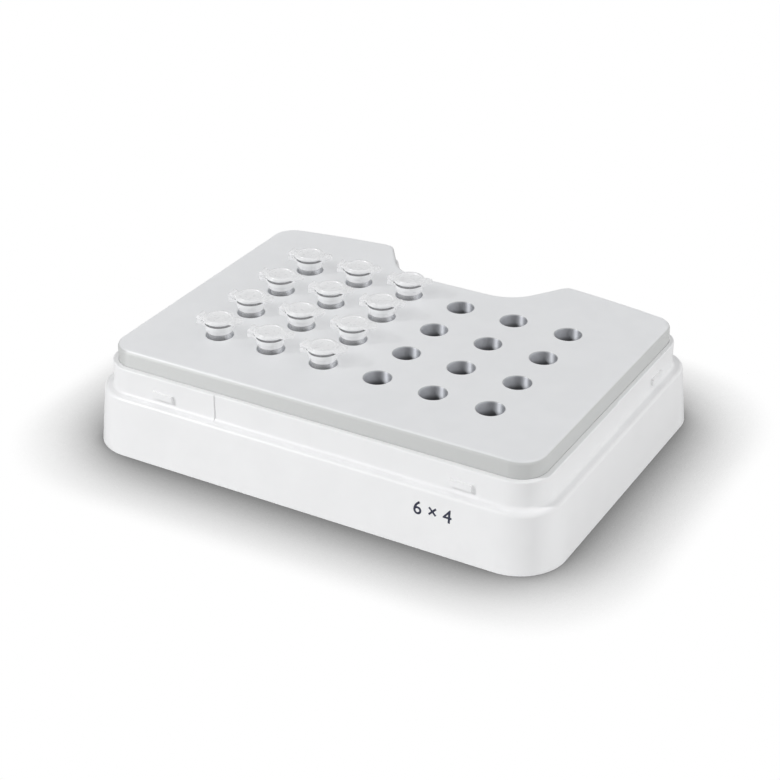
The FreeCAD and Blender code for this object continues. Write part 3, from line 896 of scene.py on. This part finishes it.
@dataclass(frozen=True)
class TurnedMetal:
    """Turned or drawn metal with fine rings and worn edges, by default plated steel."""

    name: str
    roughness: Span
    ring_pitch: float
    light: Colour = (0.62, 0.63, 0.65)
    dark: Colour = (0.54, 0.55, 0.57)
    worn: Colour = (0.80, 0.80, 0.80)
    mottle_size: float = 2.5
    grain_size: float = 0.3
    edge_radius: float = 0.1
    bump_depth: float = 0.006
    bump_strength: float = 0.4

    def build(self, effects: Effects) -> bpy.types.Material:
        """Make the material.

        Args:
            effects: Shared node groups.

        Returns:
            The material.
        """
        bench = FinishBench(self.name, effects)
        tone = bench.mottle(self.mottle_size, self.light, self.dark)
        edges = bench.soft_edges(self.edge_radius).outputs
        height = bench.rings(self.ring_pitch)
        return bench.finish(
            Base_Color=bench.blend(edges["Mask"], tone, rgba(self.worn)),
            Metallic=1.0,
            Roughness=bench.grain(self.grain_size, self.roughness).outputs["Value"],
            Normal=bench.bump(height, self.bump_depth, self.bump_strength, edges["Normal"]),
        )


@dataclass(frozen=True)
class BoardLaminate:
    """Circuit board: green resist over copper tracks."""

    name: str
    resist: Colour = (0.02, 0.14, 0.06)
    track: Colour = (0.05, 0.24, 0.10)
    roughness: Span = (0.28, 0.42)
    grain_size: float = 0.4
    track_scale: float = 160.0
    track_width: float = 0.03
    track_blur: float = 0.2
    bump_depth: float = 0.03
    bump_strength: float = 0.5

    def build(self, effects: Effects) -> bpy.types.Material:
        """Make the material.

        Args:
            effects: Shared node groups.

        Returns:
            The material.
        """
        bench = FinishBench(self.name, effects)
        tracks = bench.feed(
            bench.add("ShaderNodeTexBrick"),
            Vector=bench.place,
            Scale=self.track_scale,
            Mortar_Size=self.track_width,
            Mortar_Smooth=self.track_blur,
        )
        line = tracks.outputs["Fac"]
        return bench.finish(
            Base_Color=bench.blend(line, rgba(self.resist), rgba(self.track)),
            Roughness=bench.grain(self.grain_size, self.roughness).outputs["Value"],
            Normal=bench.bump(line, self.bump_depth, self.bump_strength),
        )


@dataclass(frozen=True)
class PrintedInk:
    """Dark printing ink with a slightly uneven cover."""

    name: str
    light: Colour = (0.055, 0.06, 0.10)
    dark: Colour = (0.025, 0.028, 0.055)
    roughness: Span = (0.40, 0.55)
    mottle_size: float = 0.8
    grain_size: float = 0.2
    bump_depth: float = 0.01
    bump_strength: float = 0.3

    def build(self, effects: Effects) -> bpy.types.Material:
        """Make the material.

        Args:
            effects: Shared node groups.

        Returns:
            The material.
        """
        bench = FinishBench(self.name, effects)
        grain = bench.grain(self.grain_size, self.roughness)
        return bench.finish(
            Base_Color=bench.mottle(self.mottle_size, self.light, self.dark),
            Roughness=grain.outputs["Value"],
            Normal=bench.bump(grain.outputs["Height"], self.bump_depth, self.bump_strength),
        )


Finish = BlastedAluminium | MouldedPlastic | SheetRubber | TurnedMetal | BoardLaminate


# Sub-assemblies


class SolidFinishes:
    """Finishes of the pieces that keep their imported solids."""

    def _sheets(self) -> dict[str, Finish]:
        """Finish of each node of silicone, foam or lead sleeve.

        Returns:
            Finishes by the name of their node.
        """
        sleeve = {"roughness": (0.42, 0.58), "pore_size": 0.5, "bump_depth": 0.02}
        return {
            "block_gasket": SheetRubber(
                "gasket_silicone",
                light=(0.05, 0.05, 0.053),
                dark=(0.03, 0.03, 0.032),
                roughness=(0.52, 0.68),
                pore_size=0.4,
                bump_depth=0.03,
            ),
            "heater_mat": SheetRubber(
                "heater_silicone",
                light=(0.30, 0.06, 0.03),
                dark=(0.20, 0.035, 0.02),
                roughness=(0.47, 0.63),
                pore_size=0.8,
                bump_depth=0.06,
            ),
            "insulation_pad": SheetRubber(
                "pad_foam",
                light=(0.72, 0.70, 0.62),
                dark=(0.55, 0.53, 0.46),
                roughness=(0.77, 0.93),
                pore_size=0.6,
                bump_depth=0.15,
            ),
            "sensor_lead": SheetRubber(
                "sensor_lead_sleeve", (0.70, 0.70, 0.67), (0.60, 0.60, 0.57), **sleeve
            ),
            "cutout_lead": SheetRubber(
                "cutout_lead_sleeve", (0.66, 0.52, 0.10), (0.55, 0.42, 0.07), **sleeve
            ),
            "heater_leads": SheetRubber(
                "heater_lead_sleeve", (0.52, 0.03, 0.02), (0.40, 0.02, 0.015), **sleeve
            ),
        }

    def _metals(self) -> dict[str, Finish]:
        """Finish of each metal node.

        Returns:
            Finishes by the name of their node.
        """
        return {
            "sample_block": BlastedAluminium("blasted_aluminium"),
            "block_screws": TurnedMetal("plated_block_screws", (0.28, 0.42), ring_pitch=0.5),
            "board_screws": TurnedMetal("plated_board_screws", (0.28, 0.42), ring_pitch=0.35),
            "temperature_sensor": TurnedMetal("sensor_sleeve", (0.20, 0.34), ring_pitch=0.4),
            "thermal_cutout": TurnedMetal("cutout_sleeve", (0.24, 0.38), ring_pitch=0.4),
            "contact_pins": TurnedMetal(
                "gold_pins",
                roughness=(0.16, 0.30),
                ring_pitch=0.3,
                light=(0.95, 0.72, 0.30),
                dark=(0.86, 0.62, 0.24),
                worn=(0.98, 0.82, 0.45),
            ),
            "locating_bushes": TurnedMetal(
                "turned_brass",
                roughness=(0.24, 0.38),
                ring_pitch=0.25,
                light=(0.80, 0.62, 0.30),
                dark=(0.68, 0.51, 0.23),
                worn=(0.90, 0.76, 0.45),
            ),
        }

    def _mouldings(self) -> dict[str, Finish]:
        """Finish of each moulded node and of the board.

        Returns:
            Finishes by the name of their node.
        """
        return {
            "housing_frame": MouldedPlastic(
                "white_moulding",
                light=(0.91, 0.913, 0.92),
                dark=(0.895, 0.898, 0.905),
                roughness=(0.32, 0.41),
                grain_size=0.5,
                bump_depth=0.015,
            ),
            "bottom_cover": MouldedPlastic(
                "cover_moulding",
                light=(0.74, 0.745, 0.75),
                dark=(0.71, 0.715, 0.72),
                roughness=(0.46, 0.55),
                grain_size=0.35,
                bump_depth=0.05,
            ),
            "contact_board": BoardLaminate("board_laminate"),
        }

    def build(self, effects: Effects) -> None:
        """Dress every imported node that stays.

        Args:
            effects: Shared node groups.
        """
        finishes = self._metals() | self._mouldings() | self._sheets()
        for node, finish in finishes.items():
            dress(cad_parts[node], finish.build(effects))
            LOG.info("%s: packed solid, finish %s", node, finish.name)


@dataclass
class SampleTubes:
    """Tubes with hinged caps in the left half of the wells."""

    columns: tuple[float, ...] = (-45.0, -27.0, -9.0)
    rows: tuple[float, ...] = (22.1298, 5.1298, -11.8702, -28.8702)
    row_names: str = "abcd"
    turn: float = 8.0
    sides: int = 48
    skin: float = 0.3
    rim: float = 35.7
    rim_radius: float = 4.3
    rim_low: float = 34.4
    rim_foot: float = 34.1
    mouth_radius: float = 3.2
    mouth_low: float = 35.35
    radius: float = 3.8
    bore: float = 3.05
    straight: float = 22.2
    tip_height: float = 8.75
    tip_radius: float = 1.85
    tip_sides: int = 6
    bore_tip_radius: float = 1.1
    bore_tip_sides: int = 4
    tube_softness: float = 0.09
    tab_low: float = 34.9
    tab_reach: float = 1.6
    seat_start: float = -5.3
    seat_end: float = -6.7
    seat_top: float = 36.2
    ticks: tuple[float, ...] = (13.0, 16.6, 19.6, 22.9, 26.2)
    tick_half: float = 0.14
    tick_proud: float = 0.06
    tick_front: float = 0.75
    cap_radius: float = 4.75
    cap_edge: float = 4.55
    cap_low: float = 36.7
    cap_wall: float = 37.2
    cap_top: float = 37.4
    cap_softness: float = 0.07
    dish_depth: float = 0.08
    dish_radii: Span = (2.5, 3.1)
    ring_foot: Span = (3.35, 4.1)
    ring_crest: Span = (3.45, 4.0)
    ring_top: float = 37.6
    stop_radius: float = 3.7
    stop_low: float = 35.8
    plug_radius: float = 2.95
    plug_straight: float = 35.2
    plug_tip_radius: float = 2.35
    plug_low: float = 33.8
    plug_bore: float = 1.75
    plug_bore_corner: float = 0.3
    lip_from: float = 0.885
    lip_step: float = 0.55
    lip_widths: tuple[float, ...] = (1.0, 0.99, 0.96, 0.90, 0.74)
    rib_steps: tuple[int, ...] = (1, 3)
    rib_shift: float = 0.25
    rib_height: float = 0.14
    strap_from: float = 0.93
    hinge_x: float = -6.0
    hinge_z: float = 37.05
    bead_radius: float = 0.7
    bead_length: float = 3.6
    bead_sides: int = 28
    bead_round: float = 0.2
    bead_round_steps: int = 3
    tube_finish: NaturalPolypropylene = NaturalPolypropylene(
        "tube_polypropylene", cover=(0.15, 0.80), milky_heights=(32.95, 33.25), roughness=(0.16, 0.25)
    )
    cap_finish: NaturalPolypropylene = NaturalPolypropylene(
        "cap_polypropylene", cover=(0.60, 0.86), milky_heights=(35.75, 36.05), roughness=(0.26, 0.35)
    )

    def _wall_radius(self, height: float) -> float:
        """Outer radius of the body at a height.

        Args:
            height: The height.

        Returns:
            The radius.
        """
        if height >= self.straight:
            return self.radius
        share = (height - self.tip_height) / (self.straight - self.tip_height)
        return self.tip_radius + (self.radius - self.tip_radius) * share

    def _tube_profile(self) -> list[Point]:
        """Corners of the tube's wall, from the inner tip over the rim to the outer tip.

        Returns:
            Radius and height of each corner.
        """
        inner_tip = quarter_round(self.bore_tip_radius, self.tip_height, self.bore_tip_sides)
        rim = [
            (self.bore, self.straight),
            (self.bore, self.mouth_low),
            (self.mouth_radius, self.rim),
            (self.rim_radius, self.rim),
            (self.rim_radius, self.tab_low),
            (self.rim_radius, self.rim_low),
            (self.radius, self.rim_foot),
        ]
        heights = [self.straight]
        for tick in self.ticks:
            heights += [tick - self.tick_half, tick + self.tick_half]
        wall = [(self._wall_radius(height), height) for height in sorted(heights, reverse=True)]
        outer_tip = quarter_round(self.tip_radius, self.tip_height, self.tip_sides)
        return inner_tip[::-1] + rim + wall + outer_tip

    def _on_tick(self, centre: Vector, tick: float) -> bool:
        """Whether a face's centre is on the front of a tick's band on the outer wall.

        Args:
            centre: Centre of the face.
            tick: Height of the tick.

        Returns:
            True on the band.
        """
        radius = math.hypot(centre.x, centre.y)
        outside = radius > self._wall_radius(tick) - self.skin
        front = centre.y < -self.tick_front * radius
        return abs(centre.z - tick) < self.tick_half and outside and front

    def _on_tab(self, centre: Vector, normal: Vector) -> bool:
        """Whether a face is on the rim where the hinge tab leaves it."""
        on_rim = centre.x < -self.radius and self.tab_low < centre.z < self.rim
        return on_rim and abs(centre.y) < self.tab_reach and abs(normal.z) < ACROSS

    def _on_seat(self, centre: Vector, normal: Vector) -> bool:
        """Whether a face is on top of the tab's end."""
        return centre.x < self.seat_start and normal.z > FACING

    def _model_tube(self) -> bpy.types.Object:
        """Tube on the origin: turned wall, hinge tab with its seat, and graduation ticks.

        Returns:
            The tube.
        """
        tube = turn_profile("tube_pattern", self._tube_profile(), self.sides)
        for tick in self.ticks:
            pick_faces(tube, lambda centre, normal, tick=tick: self._on_tick(centre, tick))
            scale = 1.0 + self.tick_proud / self._wall_radius(tick)
            pull(ORIGIN)
            squeeze((scale, scale, 1.0), ORIGIN)
        pick_faces(tube, self._on_tab)
        pull_flat(self.seat_start)
        pull_flat(self.seat_end)
        pick_faces(tube, self._on_seat)
        pull((0.0, 0.0, self.seat_top - self.rim))
        soften_edges(tube, self.tube_softness)
        return tube

    def _cap_profile(self) -> list[Point]:
        """Corners of the cap, from the middle of its top round the ring and plug to its underside.

        Returns:
            Radius and height of each corner.
        """
        dish = self.cap_top - self.dish_depth
        return [
            (0.0, dish),
            (self.dish_radii[0], dish),
            (self.dish_radii[1], self.cap_top),
            (self.ring_foot[0], self.cap_top),
            (self.ring_crest[0], self.ring_top),
            (self.ring_crest[1], self.ring_top),
            (self.ring_foot[1], self.cap_top),
            (self.cap_edge, self.cap_top),
            (self.cap_radius, self.cap_wall),
            (self.cap_radius, self.cap_low),
            (self.stop_radius, self.cap_low),
            (self.stop_radius, self.stop_low),
            (self.plug_radius, self.stop_low),
            (self.plug_radius, self.plug_straight),
            (self.plug_tip_radius, self.plug_low),
            (self.plug_bore, self.plug_low),
            (self.plug_bore, self.cap_low - self.plug_bore_corner),
            (self.plug_bore - self.plug_bore_corner, self.cap_low),
            (0.0, self.cap_low),
        ]

    def _on_edge(self, centre: Vector, normal: Vector) -> bool:
        """Whether a face is on the disc's upright edge."""
        return math.hypot(centre.x, centre.y) > self.cap_radius - self.skin and abs(normal.z) < ACROSS

    def _on_lip(self, centre: Vector, normal: Vector) -> bool:
        """Whether a face is on the disc's edge where the thumb lip leaves it."""
        return self._on_edge(centre, normal) and centre.x > self.cap_radius * self.lip_from

    def _on_strap(self, centre: Vector, normal: Vector) -> bool:
        """Whether a face is on the disc's edge where the hinge strap leaves it."""
        return self._on_edge(centre, normal) and centre.x < -self.cap_radius * self.strap_from

    def _on_rib(self, centre: Vector, normal: Vector) -> bool:
        """Whether a face is on top of every other step of the lip."""
        step = (centre.x - self.cap_radius) / self.lip_step
        return normal.z > FACING and int(step + self.rib_shift) in self.rib_steps

    def _model_cap(self) -> bpy.types.Object:
        """Cap on the origin: turned disc and plug, ribbed thumb lip, hinge strap and bead.

        Returns:
            The cap.
        """
        cap = turn_profile("cap_pattern", self._cap_profile(), self.sides)
        pick_faces(cap, self._on_lip)
        before = 1.0
        for width in self.lip_widths:
            pull((self.lip_step, 0.0, 0.0))
            squeeze((1.0, width / before, 1.0), ORIGIN)
            before = width
        pick_faces(cap, self._on_rib)
        pull((0.0, 0.0, self.rib_height))
        pick_faces(cap, self._on_strap)
        pull_flat(self.hinge_x)
        bpy.ops.object.mode_set(mode="OBJECT")
        merge_with(cap, self._model_bead(), Joining.ADD)
        soften_edges(cap, self.cap_softness)
        return cap

    def _model_bead(self) -> bpy.types.Object:
        """Round bead that the cap turns on.

        Returns:
            The bead.
        """
        work_alone()
        bpy.ops.mesh.primitive_cylinder_add(
            vertices=self.bead_sides,
            radius=self.bead_radius * MM,
            depth=self.bead_length * MM,
            location=(self.hinge_x * MM, 0.0, self.hinge_z * MM),
            rotation=(math.pi / 2, 0.0, 0.0),
        )
        bpy.ops.object.transform_apply(location=True, rotation=True, scale=True)
        bead = bpy.context.active_object
        pick_faces(bead, lambda centre, normal: abs(normal.y) > FACING)
        offset = self.bead_round * MM
        bpy.ops.mesh.bevel(offset=offset, segments=self.bead_round_steps, affect="EDGES")
        bpy.ops.object.mode_set(mode="OBJECT")
        return bead

    def build(self, effects: Effects) -> None:
        """Model one tube and one cap, and stand a copy of each in every filled well.

        Args:
            effects: Shared node groups.
        """
        patterns = {
            "tube": (self._model_tube(), self.tube_finish.build(effects)),
            "cap": (self._model_cap(), self.cap_finish.build(effects)),
        }
        for row, y in zip(self.row_names, self.rows):
            for column, x in enumerate(self.columns, start=1):
                for kind, (pattern, material) in patterns.items():
                    node = f"{kind}_{row}{column}"
                    piece = copy_to(pattern, f"moulded_{node}", (x, y, 0.0), self.turn)
                    dress(piece, material)
                    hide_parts(node)
                    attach(piece, node)
                    LOG.info("%s: %d faces, stands for %s", piece.name, len(piece.data.polygons), node)
        for pattern, _ in patterns.values():
            bpy.data.objects.remove(pattern)


@dataclass
class CoverScrews:
    """Flat head screws with a cross recess that hold the bottom cover."""

    sides: int = 40
    softness: float = 0.06
    head_radius: float = 2.5
    head_low: float = 0.8
    head_high: float = 1.9
    head_corner: float = 0.25
    shank_radius: float = 1.4
    shank_high: float = 10.8
    point_radius: float = 0.6
    point_length: float = 0.8
    recess_depth: float = 0.75
    recess_over: float = 0.2
    recess_reach: float = 1.45
    recess_half: float = 0.3
    recess_taper: float = 0.55
    level_gap: float = 0.01
    near: float = 8.0
    turn_step: float = 17.0
    finish: TurnedMetal = TurnedMetal(
        "plated_cover_screws", (0.26, 0.40), ring_pitch=0.4, worn=(0.82, 0.82, 0.82)
    )

    def _model_recess(self) -> bpy.types.Object:
        """Tapered cross that cuts the driver's recess.

        Returns:
            The cross.
        """
        work_alone()
        depth = self.recess_depth + self.recess_over
        middle = self.head_low - self.recess_over + depth / 2
        bpy.ops.mesh.primitive_cube_add(size=MM, location=(0.0, 0.0, middle * MM))
        cross = bpy.context.active_object
        cross.scale = (2 * self.recess_half, 2 * self.recess_half, depth)
        bpy.ops.object.transform_apply(location=True, rotation=True, scale=True)
        arm = self.recess_reach - self.recess_half
        for way in ((arm, 0.0, 0.0), (-arm, 0.0, 0.0), (0.0, arm, 0.0), (0.0, -arm, 0.0)):
            pick_faces(cross, lambda centre, normal, way=way: normal.dot(Vector(way)) > FACING * arm)
            pull(way)
        pick_faces(cross, lambda centre, normal: normal.z > FACING)
        squeeze((self.recess_taper, self.recess_taper, 1.0), ORIGIN)
        bpy.ops.object.mode_set(mode="OBJECT")
        return cross

    def _model_screw(self) -> bpy.types.Object:
        """Screw on the origin.

        Returns:
            The screw.
        """
        profile = [
            (0.0, self.head_low),
            (self.head_radius - self.head_corner, self.head_low),
            (self.head_radius, self.head_low + self.head_corner),
            (self.head_radius, self.head_high),
            (self.shank_radius, self.head_high),
            (self.shank_radius, self.shank_high - self.point_length),
            (self.point_radius, self.shank_high),
            (0.0, self.shank_high),
        ]
        screw = turn_profile("screw_pattern", profile, self.sides)
        merge_with(screw, self._model_recess(), Joining.CUT)
        soften_edges(screw, self.softness)
        return screw

    def _places(self) -> list[Point]:
        """Middle of each screw in millimetres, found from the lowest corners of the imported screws.

        Returns:
            Place of each screw.
        """
        screws: list[list[Point]] = []
        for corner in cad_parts["cover_screws"].data.vertices:
            x, y, z = corner.co / MM
            if z > self.head_low + self.level_gap:
                continue
            same = (screw for screw in screws if math.dist(screw[0], (x, y)) < self.near)
            found = next(same, None)
            if found is None:
                screws.append([(x, y)])
            else:
                found.append((x, y))
        middles = []
        for corners in screws:
            middles.append(tuple(sum(values) / len(corners) for values in zip(*corners)))
        return middles

    def build(self, effects: Effects) -> None:
        """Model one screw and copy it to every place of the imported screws.

        Args:
            effects: Shared node groups.
        """
        pattern = self._model_screw()
        low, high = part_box("cover_screws")
        LOG.info("cover screws lie between %s and %s", tuple(low), tuple(high))
        material = self.finish.build(effects)
        for number, (x, y) in enumerate(self._places(), start=1):
            turn = self.turn_step * number
            screw = copy_to(pattern, f"cross_screw_{number}", (x, y, 0.0), turn)
            dress(screw, material)
            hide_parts("cover_screws")
            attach(screw, "module")
            LOG.info("%s: %d faces", screw.name, len(screw.data.polygons))
        bpy.data.objects.remove(pattern)


@dataclass
class FrontMark:
    """Plain count of columns and rows, printed on the front of the frame."""

    words: str = "6 × 4"
    middle_x: float = 42.1
    middle_z: float = 12.2
    letter_height: float = 4.1
    capital_share: float = 0.73
    stroke_gain: float = 0.07
    face_y: float = -57.97
    draft: float = 1.8 / 18.4

    def build(self, effects: Effects) -> None:
        """Print the mark on the drafted face.

        Args:
            effects: Shared node groups.
        """
        work_alone()
        bpy.ops.object.text_add()
        mark = bpy.context.active_object
        mark.name = "front_count_mark"
        mark.data.body = self.words
        mark.data.align_x = "CENTER"
        mark.data.align_y = "CENTER"
        mark.data.size = self.letter_height / self.capital_share * MM
        mark.data.bevel_depth = self.stroke_gain * MM
        mark.data.bevel_resolution = 0
        hold(mark)
        bpy.ops.object.convert(target="MESH")
        mark = bpy.context.active_object
        y = self.face_y + self.draft * self.middle_z
        mark.location = (self.middle_x * MM, y * MM, self.middle_z * MM)
        mark.rotation_euler = (math.pi / 2 - math.atan(self.draft), 0.0, 0.0)
        bpy.ops.object.transform_apply(location=True, rotation=True, scale=True)
        open_piece(mark, SelectBy.CORNERS)
        bpy.ops.mesh.select_all(action="SELECT")
        bpy.ops.mesh.remove_doubles(threshold=MERGE_GAP * MM)
        bpy.ops.object.mode_set(mode="OBJECT")
        dress(mark, PrintedInk("navy_ink").build(effects))
        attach(mark, "module")
        LOG.info("%s: %d faces", mark.name, len(mark.data.polygons))


# Studio


@dataclass(frozen=True)
class PhotoCamera:
    """Camera at the photo's viewing angle, with its clipping in metres."""

    place: tuple[float, float, float] = (243.400, -435.014, 289.531)
    azimuth: float = 29.553
    elevation: float = 29.185
    lens: float = 86.73
    sensor: float = 36.0
    clip: Span = (0.01, 50.0)

    def build(self) -> None:
        """Place the camera and make it the scene's own."""
        turn = math.radians(self.azimuth)
        rise = math.radians(self.elevation)
        level = math.cos(rise)
        back = Vector((math.sin(turn) * level, -math.cos(turn) * level, math.sin(rise)))
        work_alone()
        bpy.ops.object.camera_add(location=[value * MM for value in self.place])
        camera = bpy.context.active_object
        camera.name = "photo_camera"
        camera.rotation_euler = (-back).to_track_quat("-Z", "Y").to_euler()
        camera.data.sensor_width = self.sensor
        camera.data.lens = self.lens
        camera.data.clip_start, camera.data.clip_end = self.clip
        bpy.context.scene.camera = camera


@dataclass(frozen=True)
class Studio:
    """White floor, soft dome and one small lamp far away."""

    floor_size: float = 8000.0
    floor_tone: float = 0.92
    shadow_samples: int = 16
    shadow_reach: float = 29.0
    shadow_power: float = 2.5
    mirror_tone: float = 0.45
    dome_low: float = 0.18
    dome_high: float = 1.18
    dome_way: tuple[float, float, float] = (0.94, 0.27, 0.08)
    dome_span: Span = (-0.3, 0.9)
    lamp_place: tuple[float, float, float] = (-1579.0, -1397.0, 1528.0)
    lamp_size: float = 180.0
    lamp_power: float = 39.0
    clear_layers: int = 32

    def _floor(self) -> None:
        """White floor with a soft shadow where the object stands."""
        work_alone()
        bpy.ops.mesh.primitive_plane_add(size=self.floor_size * MM)
        floor = bpy.context.active_object
        floor.name = "studio_floor"
        material = bpy.data.materials.new("white_floor")
        material.use_nodes = True
        bench = NodeBench(material.node_tree)
        bench.tree.nodes.remove(bench.tree.nodes["Principled BSDF"])
        near = bench.add("ShaderNodeAmbientOcclusion", samples=self.shadow_samples)
        bench.feed(near, Distance=self.shadow_reach * MM)
        shade = bench.math("POWER", near.outputs["AO"], self.shadow_power)
        rays = bench.add("ShaderNodeLightPath").outputs
        dimmed = bench.remap(rays["Is Glossy Ray"], 0.0, 1.0, 1.0, self.mirror_tone)
        white = bench.add("ShaderNodeEmission")
        bench.feed(white, Color=rgba(WHITE), Strength=bench.product(shade, dimmed))
        matt = bench.feed(bench.add("ShaderNodeBsdfDiffuse"), Color=rgba((self.floor_tone,) * 3))
        seen = bench.math("MAXIMUM", rays["Is Camera Ray"], rays["Is Glossy Ray"])
        white_rays = bench.math("MAXIMUM", seen, rays["Is Transmission Ray"])
        mixed = bench.add("ShaderNodeMixShader")
        sources = (white_rays, matt.outputs["BSDF"], white.outputs["Emission"])
        for socket, source in zip(mixed.inputs, sources):
            bench.connect(source, socket)
        bench.feed(bench.tree.nodes["Material Output"], Surface=mixed.outputs["Shader"])
        dress(floor, material)

    def _dome(self) -> None:
        """Soft light from all round, brighter from the right."""
        world = bpy.data.worlds.new("studio_dome")
        world.use_nodes = True
        bpy.context.scene.world = world
        bench = NodeBench(world.node_tree)
        way = bench.add("ShaderNodeTexCoord").outputs["Generated"]
        side = bench.dot(way, tuple(Vector(self.dome_way).normalized()))
        level = bench.remap(side, *self.dome_span, self.dome_low, self.dome_high)
        seen = bench.add("ShaderNodeLightPath").outputs["Is Camera Ray"]
        strength = bench.mix(seen, level, 1.0)
        bench.feed(bench.tree.nodes["Background"], Color=rgba(WHITE), Strength=strength)

    def _lamp(self) -> None:
        """Lamp at the left, which shines on one side of each well."""
        work_alone()
        bpy.ops.object.light_add(type="AREA", location=[value * MM for value in self.lamp_place])
        lamp = bpy.context.active_object
        lamp.name = "soft_lamp"
        lamp.rotation_euler = Vector(self.lamp_place).to_track_quat("Z", "Y").to_euler()
        lamp.data.size = self.lamp_size * MM
        lamp.data.energy = self.lamp_power

    def build(self) -> None:
        """Set up the floor, the dome and the lamp."""
        self._floor()
        self._dome()
        self._lamp()
        bpy.context.scene.view_settings.view_transform = "Standard"
        # Several tubes can stand behind each other, and each of them has four clear walls.
        bpy.context.scene.cycles.transparent_max_bounces = self.clear_layers


def main() -> None:
    """Build the camera, the studio and every sub-assembly."""
    logging.basicConfig(level=logging.INFO, format="%(message)s")
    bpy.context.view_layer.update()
    PhotoCamera().build()
    Studio().build()
    effects = Effects()
    SolidFinishes().build(effects)
    SampleTubes().build(effects)
    CoverScrews().build(effects)
    FrontMark().build(effects)
    work_alone()


if __name__ == "__main__":
    main()
